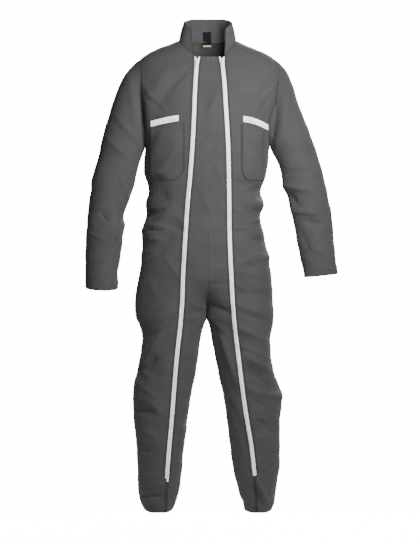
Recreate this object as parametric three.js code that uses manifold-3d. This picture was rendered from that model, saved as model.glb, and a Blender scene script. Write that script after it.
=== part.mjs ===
// Boiler suit with two full-length zips, worn form, hollow and open at neck, cuffs and hems.
// Millimetres, +Z up. The front faces -Y, and +X is the side at the right of a front view.
// The origin lies between the two points where the collar meets the shoulder seams.

import * as THREE from 'three';
import Module from 'manifold-3d';
import { mergeVertices } from 'three/addons/utils/BufferGeometryUtils.js';

// Driving dimensions

const WALL = 1.8;                 // cloth with its turned seam allowances
const COLLAR_WALL = 2.4;          // two layers
const SEAM = 0.3;                 // gap between two neighbouring pieces
const HALF_SEAM = SEAM / 2;
const SQUARENESS = 2.3;           // exponent of the body's rounded cross-section
const WAIST_Z = -633;
const SHOULDER_Z = -62;           // outer end of the shoulder seam
const ARMPIT_Z = -350;
const COLLAR_FRONT_Z = -47;       // where collar and zips meet
const CENTRE_TOP_Z = -53;         // top edge of the centre-front panel
const CROTCH_Z = -923;
const HEM_Z = -1572;
const PARTING_Z = -770;           // below it the trunk starts to part into legs
const ZIP_END_Z = { left: -1456, right: -1445 };
const ZIP_HALF = 7.2;             // half the width of zip that shows between the cloth edges
const ZIP_TOP_HALF = 9.8;         // the two tapes part above the top slider
const COIL_HALF = 2.9;
const COIL_HEIGHT = 1.3;
const ZIP_FLARE_Z = -82;          // above it the tapes start to part
const FOLDS_START_Z = -40;        // folds grow from none here to full size at FOLDS_FULL_Z
const FOLDS_FULL_Z = -90;
const FOLD_CHANGE_Y = 25;         // front folds fade into back folds between this y and minus it
const SLEEVE_GAP = 0.36;          // between the armhole and the sleeve, along X
const EVEN_RING = 5;              // sleeve ring from which the points are spread evenly
const SEAM_SHARE = 0.004;         // place round a leg where the inset at the middle seam is found
const PATCH_GAP = 0.95;           // between a panel and what is sewn on it
const PATCH_WALL = 1.3;
const POCKET_ZIP_WALL = 1.6;
const POCKET_ZIP_GAP = 0.85;

// Collar: its top edge is an oval that is lower in front
const COLLAR = {
  halfX: 78, halfY: 62, y: -1, back: 71, side: 61, frontDrop: 22, bulge: 3,
  columns: 30, rows: 4,
  endAngle: 130,                  // of the collar's ends, from the middle of the back
  neckShare: 0.69,                // beyond it the base follows the slanted front neck seam
};

// Chest pockets, their zips, and where the slider sits along a zip
const POCKETS = {
  left: { topInner: -272, topOuter: -292, bottom: -463, innerX: -77, outerX: -192, corner: 40 },
  right: { topInner: -276, topOuter: -305, bottom: -463, innerX: 110, outerX: 184, corner: 25 },
};
const POCKET_CURVE = 45;          // height of a pocket's rounded bottom
const POCKET_LEVELS = { belowTop: 5, aboveBottom: 22, curve: [18, 7, 0] };
const POCKET_ZIPS = {
  left: { innerX: -97, innerZ: -258.5, outerX: -189, outerZ: -277.5, rise: 1 },
  right: { innerX: 117, innerZ: -261.5, outerX: 199, outerZ: -289, rise: 5 },
};
const POCKET_ZIP_HALF = 9.6;
const POCKET_COIL_SHARE = 0.32;   // half-width of the coil as a share of the zip's
const POCKET_SLIDER_SHARE = 0.09;

// Sliders and pull tabs
const SLIDER = { length: 13, width: 9.4, top: 3.2, sink: 0.6, waist: 6.4 };
const BRIDGE = { outer: 3.2, inner: 1.7, opening: 5.2, top: 6.4, width: 2.4, foot: 2.4 };
const TAB = {
  width: 6.4, length: 24, thick: 1, bar: 0.5, window: 5, rail: 1.25, axis: 4.2,
  flare: 0.4, cornerWidth: 1.8, cornerHeight: 2.5,
};
const SLIDER_TOP_Z = -70;
const SLIDER_END = 12;            // height of the lower slider above the zip's end
const SLIDER_REACH = 5;           // the direction of a zip is taken this far to each side

// Neck label, hung inside the back of the collar
const LABEL = { width: 27, height: 50, thick: 0.8, x: -3, y: 52.3, z: 6 };

// Trunk: half-widths to the left and right, depth to the front and the back
const TRUNK = [
  { z: 0, left: 97, right: 94, front: 44, back: 56 },
  { z: -12, left: 128, right: 119, front: 53, back: 69 },
  { z: -23, left: 160, right: 146, front: 60, back: 79 },
  { z: -43, left: 200, right: 193, front: 71, back: 93 },
  { z: -62, left: 226, right: 222, front: 80, back: 102 },
  { z: -80, left: 238, right: 240, front: 88, back: 109 },
  { z: -113, left: 246, right: 254, front: 102, back: 119 },
  { z: -170, left: 246, right: 254, front: 120, back: 129 },
  { z: -210, left: 241, right: 245, front: 128, back: 132 },
  { z: -253, left: 233, right: 230, front: 134, back: 131 },
  { z: -297, left: 222, right: 216, front: 138, back: 127 },
  { z: -350, left: 208, right: 205, front: 139, back: 121 },
  { z: -403, left: 213, right: 200, front: 137, back: 115 },
  { z: -443, left: 213, right: 193, front: 134, back: 111 },
  { z: -503, left: 197, right: 177, front: 127, back: 108 },
  { z: -543, left: 207, right: 183, front: 125, back: 109 },
  { z: -583, left: 207, right: 173, front: 124, back: 111 },
  { z: -633, left: 220, right: 183, front: 126, back: 116 },
  { z: -703, left: 217, right: 197, front: 129, back: 127 },
  { z: -783, left: 230, right: 210, front: 127, back: 134 },
  { z: -863, left: 243, right: 217, front: 120, back: 130 },
  { z: -923, left: 240, right: 218, front: 110, back: 119 },
];

// Armhole seams, seen from the front: distance from the middle on each panel
const ARMHOLE = [
  { z: -62, frontLeft: 226, frontRight: 222, back: 222 },
  { z: -80, frontLeft: 223, frontRight: 230, back: 219 },
  { z: -113, frontLeft: 221, frontRight: 238, back: 212 },
  { z: -170, frontLeft: 224, frontRight: 239, back: 201 },
  { z: -210, frontLeft: 221, frontRight: 222, back: 196 },
  { z: -253, frontLeft: 217, frontRight: 205, back: 193 },
  { z: -297, frontLeft: 210, frontRight: 201, back: 192 },
  { z: -350, frontLeft: 208, frontRight: 205, back: 205 },
];

// Legs: distances of the outer and inner outlines from the middle, and depths
const LEGS = [
  { z: -633, leftOuter: 220, leftInner: 0, rightInner: 0, rightOuter: 183, front: 126, back: 116 },
  { z: -703, leftOuter: 217, leftInner: 0, rightInner: 0, rightOuter: 197, front: 122, back: 127 },
  { z: -783, leftOuter: 230, leftInner: 1, rightInner: -1, rightOuter: 210, front: 117, back: 132 },
  { z: -863, leftOuter: 243, leftInner: 3, rightInner: -3, rightOuter: 217, front: 112, back: 127 },
  { z: -923, leftOuter: 240, leftInner: 5, rightInner: -5, rightOuter: 218, front: 107, back: 118 },
  { z: -943, leftOuter: 230, leftInner: 12, rightInner: 3, rightOuter: 217, front: 104, back: 116 },
  { z: -983, leftOuter: 218, leftInner: 23, rightInner: 11, rightOuter: 208, front: 100, back: 112 },
  { z: -1023, leftOuter: 222, leftInner: 30, rightInner: 18, rightOuter: 207, front: 97, back: 109 },
  { z: -1063, leftOuter: 227, leftInner: 37, rightInner: 26, rightOuter: 210, front: 96, back: 105 },
  { z: -1103, leftOuter: 238, leftInner: 43, rightInner: 34, rightOuter: 220, front: 95, back: 100 },
  { z: -1143, leftOuter: 249, leftInner: 50, rightInner: 43, rightOuter: 236, front: 94, back: 96 },
  { z: -1183, leftOuter: 251, leftInner: 57, rightInner: 53, rightOuter: 246, front: 92, back: 92 },
  { z: -1263, leftOuter: 247, leftInner: 70, rightInner: 63, rightOuter: 240, front: 88, back: 87 },
  { z: -1343, leftOuter: 240, leftInner: 80, rightInner: 73, rightOuter: 241, front: 83, back: 84 },
  { z: -1423, leftOuter: 233, leftInner: 87, rightInner: 83, rightOuter: 237, front: 79, back: 80 },
  { z: -1463, leftOuter: 233, leftInner: 92, rightInner: 92, rightOuter: 231, front: 76, back: 77 },
  { z: -1503, leftOuter: 233, leftInner: 97, rightInner: 102, rightOuter: 227, front: 72, back: 74 },
  { z: -1543, leftOuter: 224, leftInner: 109, rightInner: 117, rightOuter: 221, front: 65, back: 67 },
  { z: -1572, leftOuter: 208, leftInner: 121, rightInner: 124, rightOuter: 211, front: 56, back: 58 },
];

// Centre lines of the two long zips
const ZIP_LINES = [
  { z: -47, left: -35, right: 45 },
  { z: -143, left: -41.5, right: 55 },
  { z: -223, left: -45, right: 60 },
  { z: -303, left: -48.5, right: 65 },
  { z: -383, left: -53.5, right: 68.5 },
  { z: -463, left: -60, right: 70 },
  { z: -543, left: -67.5, right: 71 },
  { z: -623, left: -73, right: 72 },
  { z: -703, left: -78, right: 74 },
  { z: -783, left: -82.5, right: 78 },
  { z: -863, left: -85, right: 82 },
  { z: -943, left: -91, right: 88 },
  { z: -1023, left: -100, right: 98 },
  { z: -1103, left: -107.5, right: 108 },
  { z: -1183, left: -114, right: 118 },
  { z: -1263, left: -120, right: 130 },
  { z: -1343, left: -127.5, right: 143.5 },
  { z: -1423, left: -134, right: 153 },
  { z: -1500, left: -138, right: 159 },
  { z: -1572, left: -142, right: 163 },
];

// Sleeves: each ring runs from a point on the outer outline to one on the inner outline
const SLEEVE_LEFT = [
  { outX: -250, outZ: -81, inX: -211, inZ: -357, front: 67, back: 84, y: 0, drop: 0 },
  { outX: -271, outZ: -104, inX: -214, inZ: -366, front: 72, back: 82, y: -1, drop: 0 },
  { outX: -288, outZ: -132, inX: -218, inZ: -377, front: 74, back: 80, y: -2, drop: 0 },
  { outX: -303, outZ: -166, inX: -222, inZ: -391, front: 74, back: 77, y: -4, drop: 0 },
  { outX: -317, outZ: -205, inX: -228, inZ: -408, front: 73, back: 74, y: -6, drop: 0 },
  { outX: -331, outZ: -250, inX: -234, inZ: -430, front: 71, back: 72, y: -8, drop: 0 },
  { outX: -345, outZ: -300, inX: -241, inZ: -458, front: 69, back: 70, y: -10, drop: 0 },
  { outX: -358, outZ: -350, inX: -250, inZ: -490, front: 67, back: 68, y: -13, drop: 0 },
  { outX: -370, outZ: -402, inX: -260, inZ: -522, front: 66, back: 66, y: -16, drop: 0 },
  { outX: -381, outZ: -455, inX: -272, inZ: -553, front: 65, back: 64, y: -20, drop: 0 },
  { outX: -391, outZ: -508, inX: -280, inZ: -585, front: 64, back: 62, y: -24, drop: 0 },
  { outX: -399, outZ: -560, inX: -281, inZ: -622, front: 62, back: 60, y: -28, drop: 0 },
  { outX: -405, outZ: -612, inX: -284, inZ: -660, front: 60, back: 58, y: -32, drop: 0 },
  { outX: -407, outZ: -662, inX: -288, inZ: -697, front: 58, back: 57, y: -35, drop: 0 },
  { outX: -407, outZ: -710, inX: -293, inZ: -733, front: 57, back: 56, y: -38, drop: 2 },
  { outX: -409, outZ: -757, inX: -298, inZ: -768, front: 56, back: 55, y: -40, drop: 5 },
  { outX: -409, outZ: -797, inX: -299, inZ: -803, front: 55, back: 55, y: -41, drop: 8 },
  { outX: -407, outZ: -822, inX: -301, inZ: -825, front: 54, back: 54, y: -41, drop: 9 },
];
const SLEEVE_RIGHT = [
  { outX: 245, outZ: -81, inX: 208, inZ: -357, front: 67, back: 84, y: 0, drop: 0 },
  { outX: 264, outZ: -105, inX: 211, inZ: -365, front: 72, back: 82, y: -1, drop: 0 },
  { outX: 279, outZ: -139, inX: 215, inZ: -375, front: 74, back: 80, y: -2, drop: 0 },
  { outX: 292, outZ: -177, inX: 222, inZ: -387, front: 74, back: 77, y: -4, drop: 0 },
  { outX: 305, outZ: -217, inX: 231, inZ: -403, front: 73, back: 74, y: -6, drop: 0 },
  { outX: 321, outZ: -258, inX: 238, inZ: -424, front: 71, back: 72, y: -8, drop: 0 },
  { outX: 337, outZ: -303, inX: 244, inZ: -452, front: 69, back: 70, y: -10, drop: 0 },
  { outX: 354, outZ: -346, inX: 252, inZ: -482, front: 67, back: 68, y: -13, drop: 0 },
  { outX: 369, outZ: -390, inX: 262, inZ: -513, front: 66, back: 66, y: -16, drop: 0 },
  { outX: 382, outZ: -436, inX: 271, inZ: -546, front: 65, back: 64, y: -20, drop: 0 },
  { outX: 393, outZ: -486, inX: 280, inZ: -583, front: 64, back: 62, y: -24, drop: 0 },
  { outX: 403, outZ: -537, inX: 286, inZ: -620, front: 62, back: 60, y: -28, drop: 0 },
  { outX: 413, outZ: -587, inX: 292, inZ: -655, front: 60, back: 58, y: -32, drop: 0 },
  { outX: 418, outZ: -637, inX: 300, inZ: -690, front: 58, back: 57, y: -35, drop: 0 },
  { outX: 422, outZ: -685, inX: 309, inZ: -724, front: 57, back: 56, y: -38, drop: 0 },
  { outX: 426, outZ: -727, inX: 315, inZ: -754, front: 56, back: 55, y: -40, drop: 0 },
  { outX: 429, outZ: -757, inX: 319, inZ: -774, front: 55, back: 55, y: -41, drop: 0 },
  { outX: 430, outZ: -777, inX: 320, inZ: -788, front: 54, back: 54, y: -41, drop: 1 },
];

// The largest folds: a soft ridge (height above 0) or trough along a line from start to end
const FRONT_FOLDS = [
  { x1: -128, z1: -92, x2: -176, z2: -170, width: 20, height: 6 },
  { x1: -110, z1: -118, x2: -162, z2: -204, width: 18, height: -6 },
  { x1: 130, z1: -84, x2: 176, z2: -160, width: 20, height: 5 },
  { x1: 186, z1: -170, x2: 196, z2: -250, width: 18, height: -6 },
  { x1: -196, z1: -190, x2: -192, z2: -300, width: 16, height: 5 },
  { x1: 30, z1: -180, x2: 12, z2: -300, width: 24, height: 4 },
  { x1: -175, z1: -462, x2: -205, z2: -470, width: 17, height: -6 },
  { x1: -150, z1: -520, x2: -207, z2: -574, width: 20, height: -8 },
  { x1: -120, z1: -560, x2: -190, z2: -640, width: 18, height: 6 },
  { x1: -115, z1: -625, x2: -160, z2: -690, width: 20, height: -6 },
  { x1: -165, z1: -668, x2: -216, z2: -716, width: 20, height: 7 },
  { x1: 110, z1: -480, x2: 176, z2: -500, width: 18, height: -7 },
  { x1: 120, z1: -528, x2: 176, z2: -552, width: 18, height: 7 },
  { x1: 95, z1: -630, x2: 160, z2: -668, width: 20, height: -7 },
  { x1: 110, z1: -735, x2: 195, z2: -718, width: 20, height: 6 },
  { x1: 118, z1: -835, x2: 206, z2: -860, width: 22, height: -7 },
  { x1: 10, z1: -880, x2: 62, z2: -906, width: 18, height: -5 },
  { x1: -30, z1: -790, x2: 30, z2: -770, width: 24, height: 4 },
  { x1: 103, z1: -960, x2: 176, z2: -992, width: 22, height: 7 },
  { x1: -160, z1: -985, x2: -212, z2: -1070, width: 20, height: 7 },
  { x1: -182, z1: -1062, x2: -226, z2: -1110, width: 20, height: -8 },
  { x1: -70, z1: -1000, x2: -50, z2: -1130, width: 22, height: 5 },
  { x1: 130, z1: -1052, x2: 186, z2: -1086, width: 20, height: 7 },
  { x1: 138, z1: -1100, x2: 206, z2: -1150, width: 20, height: -8 },
  { x1: 50, z1: -995, x2: 92, z2: -1128, width: 20, height: 6 },
  { x1: 160, z1: -1170, x2: 240, z2: -1184, width: 18, height: 6 },
  { x1: -236, z1: -1226, x2: -190, z2: -1240, width: 20, height: -6 },
  { x1: 166, z1: -1292, x2: 214, z2: -1264, width: 20, height: -6 },
  { x1: -90, z1: -1300, x2: -110, z2: -1400, width: 18, height: 5 },
  { x1: -218, z1: -1514, x2: -165, z2: -1516, width: 15, height: -6 },
  { x1: -190, z1: -1460, x2: -150, z2: -1464, width: 16, height: 4 },
  { x1: 160, z1: -1460, x2: 192, z2: -1524, width: 15, height: 7 },
  { x1: 120, z1: -1490, x2: 158, z2: -1520, width: 16, height: -5 },
  { x1: -262, z1: -470, x2: -288, z2: -530, width: 18, height: 6 },
  { x1: -338, z1: -584, x2: -362, z2: -600, width: 17, height: -7 },
  { x1: -288, z1: -614, x2: -312, z2: -640, width: 17, height: 6 },
  { x1: -390, z1: -470, x2: -360, z2: -430, width: 20, height: 5 },
  { x1: 262, z1: -486, x2: 330, z2: -496, width: 17, height: 6 },
  { x1: 276, z1: -520, x2: 300, z2: -548, width: 17, height: -6 },
  { x1: 296, z1: -566, x2: 346, z2: -572, width: 17, height: 6 },
  { x1: 336, z1: -604, x2: 374, z2: -612, width: 17, height: -6 },
  { x1: 366, z1: -642, x2: 330, z2: -720, width: 17, height: 5 },
];
const BACK_FOLDS = [
  { x1: -150, z1: -150, x2: -60, z2: -330, width: 26, height: 5 },
  { x1: 155, z1: -160, x2: 70, z2: -350, width: 26, height: 5 },
  { x1: -30, z1: -120, x2: 35, z2: -126, width: 24, height: -4 },
  { x1: -170, z1: -560, x2: -60, z2: -590, width: 18, height: 7 },
  { x1: 160, z1: -545, x2: 40, z2: -575, width: 18, height: 7 },
  { x1: -150, z1: -520, x2: 10, z2: -540, width: 20, height: -6 },
  { x1: -140, z1: -668, x2: 20, z2: -660, width: 20, height: 6 },
  { x1: 30, z1: -690, x2: 150, z2: -672, width: 20, height: 5 },
  { x1: -40, z1: -860, x2: -150, z2: -900, width: 22, height: -7 },
  { x1: 45, z1: -868, x2: 160, z2: -915, width: 22, height: -7 },
  { x1: -80, z1: -960, x2: -190, z2: -985, width: 22, height: 6 },
  { x1: 80, z1: -950, x2: 180, z2: -1010, width: 22, height: 6 },
  { x1: -80, z1: -1120, x2: -200, z2: -1150, width: 20, height: -7 },
  { x1: 85, z1: -1130, x2: 205, z2: -1110, width: 20, height: -7 },
  { x1: -100, z1: -1195, x2: -215, z2: -1210, width: 20, height: 6 },
  { x1: 100, z1: -1188, x2: 215, z2: -1200, width: 20, height: 6 },
  { x1: -120, z1: -1420, x2: -205, z2: -1455, width: 20, height: 5 },
  { x1: 125, z1: -1440, x2: 215, z2: -1415, width: 20, height: 5 },
  { x1: -290, z1: -430, x2: -350, z2: -400, width: 20, height: 5 },
  { x1: 285, z1: -425, x2: 350, z2: -400, width: 20, height: 5 },
  { x1: -300, z1: -560, x2: -380, z2: -575, width: 19, height: -6 },
  { x1: 300, z1: -545, x2: 395, z2: -580, width: 19, height: -6 },
];

// Steps of the cloth grids
const UPPER_ROWS = [-2, -9, -20, -33, -47, -53, -62, -82, -110, -142, -176, -210, -244, -278, -314,
  -350, -378, -406, -434, -463, -490, -516, -542, -568, -600, -633];
const LOWER_ROWS = [-633, -664, -694, -724, -754, -784, -814, -844, -872, -900, -923, -943, -970,
  -1002, -1034, -1066, -1098, -1130, -1162, -1196, -1232, -1270, -1310, -1350, -1390, -1424,
  -1480, -1506, -1530, -1552, -1572];
const COLUMNS = { frontCentre: 5, frontSide: 8, back: 16, inner: 4, outer: 6, backLeg: 8 };

const COLORS = { cloth: 0x55565a, zip: 0xe6e4ee, tab: 0xd9d8e0, label: 0x1d1d1f };

// Small helpers

const clamp = (value, low, high) => Math.min(Math.max(value, low), high);
const mix = (a, b, t) => a + (b - a) * t;
const radians = (degrees) => degrees * Math.PI / 180;

function smoothStep(low, high, value) {
  const t = clamp((value - low) / (high - low), 0, 1);
  return t * t * (3 - 2 * t);
}

// Slope of a table's column at one row, for a smooth curve through the rows
function slopeAt(table, key, index) {
  const before = table[Math.max(index - 1, 0)];
  const after = table[Math.min(index + 1, table.length - 1)];
  return (after[key] - before[key]) / (after.z - before.z);
}

// Value of a table's column at height z; the rows run downwards
function tableValue(table, key, z) {
  const level = clamp(z, table[table.length - 1].z, table[0].z);
  let index = 0;
  while (index < table.length - 2 && level < table[index + 1].z) {
    index += 1;
  }
  const a = table[index];
  const b = table[index + 1];
  const span = b.z - a.z;
  const t = (level - a.z) / span;
  const t2 = t * t;
  const t3 = t2 * t;
  const slopeA = slopeAt(table, key, index) * span;
  const slopeB = slopeAt(table, key, index + 1) * span;
  return a[key] * (2 * t3 - 3 * t2 + 1) + slopeA * (t3 - 2 * t2 + t)
    + b[key] * (3 * t2 - 2 * t3) + slopeB * (t3 - t2);
}

// How far the folds push the cloth outwards at a point
function foldLift(x, y, z) {
  const frontShare = smoothStep(FOLD_CHANGE_Y, -FOLD_CHANGE_Y, y);
  let lift = 0;
  for (const [folds, share] of [[FRONT_FOLDS, frontShare], [BACK_FOLDS, 1 - frontShare]]) {
    if (share === 0) {
      continue;
    }
    for (const fold of folds) {
      const alongX = fold.x2 - fold.x1;
      const alongZ = fold.z2 - fold.z1;
      const dot = (x - fold.x1) * alongX + (z - fold.z1) * alongZ;
      const t = clamp(dot / (alongX * alongX + alongZ * alongZ), 0, 1);
      const distance = Math.hypot(x - fold.x1 - alongX * t, z - fold.z1 - alongZ * t);
      lift += share * fold.height * Math.exp(-((distance / fold.width) ** 2));
    }
  }
  return lift;
}

// Rounded cross-section: distance from the middle in the direction theta
function roundedRadius(theta, halfX, halfY, squareness) {
  const partX = (Math.abs(Math.cos(theta)) / halfX) ** squareness;
  const partY = (Math.abs(Math.sin(theta)) / halfY) ** squareness;
  return (partX + partY) ** (-1 / squareness);
}

// Surfaces of the garment. Each gives the outer point of the cloth for (around, z).

// Trunk: theta is 0 at the right side, 90 degrees at the back, 180 at the left side
function trunkPoint(theta, z) {
  const halfX = tableValue(TRUNK, Math.cos(theta) < 0 ? 'left' : 'right', z);
  const halfY = tableValue(TRUNK, Math.sin(theta) < 0 ? 'front' : 'back', z);
  const radius = roundedRadius(theta, halfX, halfY, SQUARENESS);
  const x = radius * Math.cos(theta);
  const y = radius * Math.sin(theta);
  const lift = foldLift(x, y, z) * smoothStep(FOLDS_START_Z, FOLDS_FULL_Z, z);
  return new THREE.Vector3(x + lift * Math.cos(theta), y + lift * Math.sin(theta), z);
}

trunkPoint.halfTurn = Math.PI;

// Below the waist: share runs from 0 at the front middle round the outside to 1 at the back middle
function legPoint(side, share, z) {
  const sign = side === 'left' ? -1 : 1;
  const parted = smoothStep(PARTING_Z, CROTCH_Z, z);
  const theta = sign < 0 ? radians(-90 - 180 * share) : radians(-90 + 180 * share);
  const trunk = trunkPoint(theta, Math.max(z, CROTCH_Z));
  const outer = tableValue(LEGS, side + 'Outer', z);
  const inner = tableValue(LEGS, side + 'Inner', z);
  const turn = 2 * Math.PI * share;
  const depth = tableValue(LEGS, Math.sin(turn) > 0 ? 'front' : 'back', z);
  const halfWidth = (outer - inner) / 2;
  const towardsInner = Math.cos(turn);
  const towardsFront = Math.sin(turn);
  const middle = sign * (outer + inner) / 2;
  let legX = middle - sign * halfWidth * towardsInner;
  let legY = -depth * towardsFront;
  const lift = foldLift(legX, legY, z);
  legX -= sign * lift * towardsInner;
  legY -= lift * towardsFront;
  return new THREE.Vector3(mix(trunk.x, legX, parted), mix(trunk.y, legY, parted), z);
}

// Normal of a surface, pointing out of the garment
function surfaceNormal(surface, around, z) {
  const stepAround = 0.004;
  const stepZ = 2;
  const before = surface(around - stepAround, z);
  const after = surface(around + stepAround, z);
  const along = surface(around, z + stepZ).sub(surface(around, z - stepZ));
  const normal = after.clone().sub(before).cross(along).normalize();
  const inside = surface(around + surface.halfTurn, z);
  return normal.dot(before.sub(inside)) < 0 ? normal.negate() : normal;
}

// Position round a surface where it reaches a given x, between two positions
function findAround(surface, z, x, low, high) {
  let a = low;
  let b = high;
  const rising = surface(b, z).x > surface(a, z).x;
  for (let step = 0; step < 40; step += 1) {
    const middle = (a + b) / 2;
    if ((surface(middle, z).x < x) === rising) {
      a = middle;
    } else {
      b = middle;
    }
  }
  return (a + b) / 2;
}

// Step round a surface that is as long as a distance in millimetres
function aroundStep(surface, around, z, distance) {
  const probe = 0.002;
  const length = surface(around + probe, z).distanceTo(surface(around - probe, z));
  return distance * 2 * probe / length;
}

// Solids from grids of outer and inner points

function gridGeometry(outer, inner, closed) {
  const rows = outer.length;
  const columns = outer[0].length;
  const positions = [];
  for (const layer of [outer, inner]) {
    for (const row of layer) {
      for (const point of row) {
        positions.push(point.x, point.y, point.z);
      }
    }
  }
  const id = (layer, row, column) => (layer * rows + row) * columns + (column % columns);
  const indices = [];
  const quad = (a, b, c, d) => indices.push(a, b, c, a, c, d);
  const columnSteps = closed ? columns : columns - 1;
  for (let r = 0; r < rows - 1; r += 1) {
    for (let c = 0; c < columnSteps; c += 1) {
      quad(id(0, r, c), id(0, r + 1, c), id(0, r + 1, c + 1), id(0, r, c + 1));
      quad(id(1, r, c), id(1, r, c + 1), id(1, r + 1, c + 1), id(1, r + 1, c));
    }
  }
  for (let c = 0; c < columnSteps; c += 1) {
    quad(id(0, 0, c), id(0, 0, c + 1), id(1, 0, c + 1), id(1, 0, c));
    quad(id(0, rows - 1, c), id(1, rows - 1, c), id(1, rows - 1, c + 1), id(0, rows - 1, c + 1));
  }
  if (!closed) {
    const last = columns - 1;
    for (let r = 0; r < rows - 1; r += 1) {
      quad(id(0, r, 0), id(1, r, 0), id(1, r + 1, 0), id(0, r + 1, 0));
      quad(id(0, r, last), id(0, r + 1, last), id(1, r + 1, last), id(1, r, last));
    }
  }
  return facesOut(positions, indices);
}

// Turns the faces over when they point into the solid
function facesOut(positions, indices) {
  const point = (index) => new THREE.Vector3().fromArray(positions, index * 3);
  let volume = 0;
  for (let i = 0; i < indices.length; i += 3) {
    volume += point(indices[i]).dot(point(indices[i + 1]).cross(point(indices[i + 2])));
  }
  if (volume < 0) {
    for (let i = 0; i < indices.length; i += 3) {
      [indices[i + 1], indices[i + 2]] = [indices[i + 2], indices[i + 1]];
    }
  }
  const geometry = new THREE.BufferGeometry();
  geometry.setAttribute('position', new THREE.Float32BufferAttribute(positions, 3));
  geometry.setIndex(indices);
  return geometry;
}

// A panel between two edges of a surface; edges(z) gives the two positions round it
function panelGeometry(surface, rows, columns, edges, thickness = WALL, keep = null) {
  const outer = [];
  const inner = [];
  for (const z of rows) {
    const [from, to] = edges(z);
    const outerRow = [];
    const innerRow = [];
    for (let c = 0; c <= columns; c += 1) {
      const around = mix(from, to, c / columns);
      const normal = surfaceNormal(surface, around, z);
      const outerPoint = surface(around, z);
      const innerPoint = outerPoint.clone().addScaledVector(normal, -thickness);
      if (keep) {
        keep(outerPoint, z);
        keep(innerPoint, z);
      }
      outerRow.push(outerPoint);
      innerRow.push(innerPoint);
    }
    outer.push(outerRow);
    inner.push(innerRow);
  }
  return gridGeometry(outer, inner, false);
}

const suit = new THREE.Group();
suit.name = 'boiler_suit';

function addPiece(name, geometry, color, roughness = 0.9) {
  const material = new THREE.MeshStandardMaterial({ color, roughness });
  const mesh = new THREE.Mesh(geometry, material);
  mesh.name = name;
  suit.add(mesh);
  return mesh;
}

// Rows between two heights, ending a half seam inside each of them
function rowsBetween(rows, top, bottom) {
  const inside = rows.filter((z) => z < top - 1 && z > bottom + 1);
  return [top - HALF_SEAM, ...inside, bottom + HALF_SEAM];
}

// Half the gap that the cloth leaves for a long zip
function zipHalf(z) {
  return mix(ZIP_HALF, ZIP_TOP_HALF, smoothStep(ZIP_FLARE_Z, CENTRE_TOP_Z, z));
}

// Position on the front of the trunk at a given x
function frontTheta(x, z) {
  return findAround(trunkPoint, z, x, radians(-180), radians(0));
}

// Edges of the upper front panel of one side, from the zip or collar to the armhole or side seam
function upperFrontEdges(side, z) {
  const sign = side === 'left' ? -1 : 1;
  const zipX = tableValue(ZIP_LINES, side, z) + sign * (zipHalf(z) + SEAM);
  const neckShare = clamp(z / COLLAR_FRONT_Z, 0, 1);
  const neckX = mix(sign * tableValue(TRUNK, side, 0), neckEndX(side), neckShare) + sign * HALF_SEAM;
  const innerX = z > COLLAR_FRONT_Z ? neckX : zipX;
  const innerEdge = frontTheta(innerX, z);
  const sideTheta = sign < 0 ? radians(-180) : radians(0);
  let outerEdge = sideTheta - sign * aroundStep(trunkPoint, sideTheta, z, HALF_SEAM);
  if (z < SHOULDER_Z && z > ARMPIT_Z) {
    const key = side === 'left' ? 'frontLeft' : 'frontRight';
    outerEdge = frontTheta(sign * tableValue(ARMHOLE, key, z), z);
  }
  return [innerEdge, outerEdge];
}

// Where the neck seam ends beside a zip
function neckEndX(side) {
  const sign = side === 'left' ? -1 : 1;
  return tableValue(ZIP_LINES, side, COLLAR_FRONT_Z) + sign * (zipHalf(COLLAR_FRONT_Z) + SEAM);
}

// Edge of the upper back on one side
function upperBackEdge(side, z) {
  const sign = side === 'left' ? -1 : 1;
  if (z < SHOULDER_Z && z > ARMPIT_Z) {
    const x = sign * tableValue(ARMHOLE, 'back', z);
    return findAround(trunkPoint, z, x, radians(180), 0);
  }
  const sideTheta = sign < 0 ? radians(180) : 0;
  return sideTheta + sign * aroundStep(trunkPoint, sideTheta, z, HALF_SEAM);
}

// Surface of one side below the waist
function legSurface(side) {
  const surface = (share, z) => legPoint(side, share, z);
  surface.halfTurn = 0.5;
  return surface;
}

// Position on the front of a leg at a given x
const legShare = (side, x, z) => findAround(legSurface(side), z, x, SEAM_SHARE, 0.5);

// Edge that a lower front panel has beside the zip, or where the zip has ended, at the seam
function lowerZipEdge(side, z, outwards) {
  const sign = side === 'left' ? -1 : 1;
  const gap = z >= ZIP_END_Z[side] ? ZIP_HALF + SEAM : HALF_SEAM;
  const x = tableValue(ZIP_LINES, side, z) + sign * outwards * gap;
  return legShare(side, x, z);
}

// Keeps the cloth of one side on its side of the centre seam
function keepOnSide(side) {
  const sign = side === 'left' ? -1 : 1;
  return (point, z) => {
    if (z < CROTCH_Z) {
      return;
    }
    const seamX = -tableValue(LEGS, 'leftInner', z) * smoothStep(PARTING_Z, CROTCH_Z, z);
    const limit = seamX + sign * HALF_SEAM;
    point.x = sign < 0 ? Math.min(point.x, limit) : Math.max(point.x, limit);
  };
}

// Point and normal of the cloth's front at a given x and z
function frontFrame(side, x, z) {
  if (z >= WAIST_Z) {
    const theta = frontTheta(x, z);
    return { point: trunkPoint(theta, z), normal: surfaceNormal(trunkPoint, theta, z) };
  }
  const share = legShare(side, x, z);
  const surface = legSurface(side);
  return { point: surface(share, z), normal: surfaceNormal(surface, share, z) };
}

// Panels of the trunk and the legs

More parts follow.
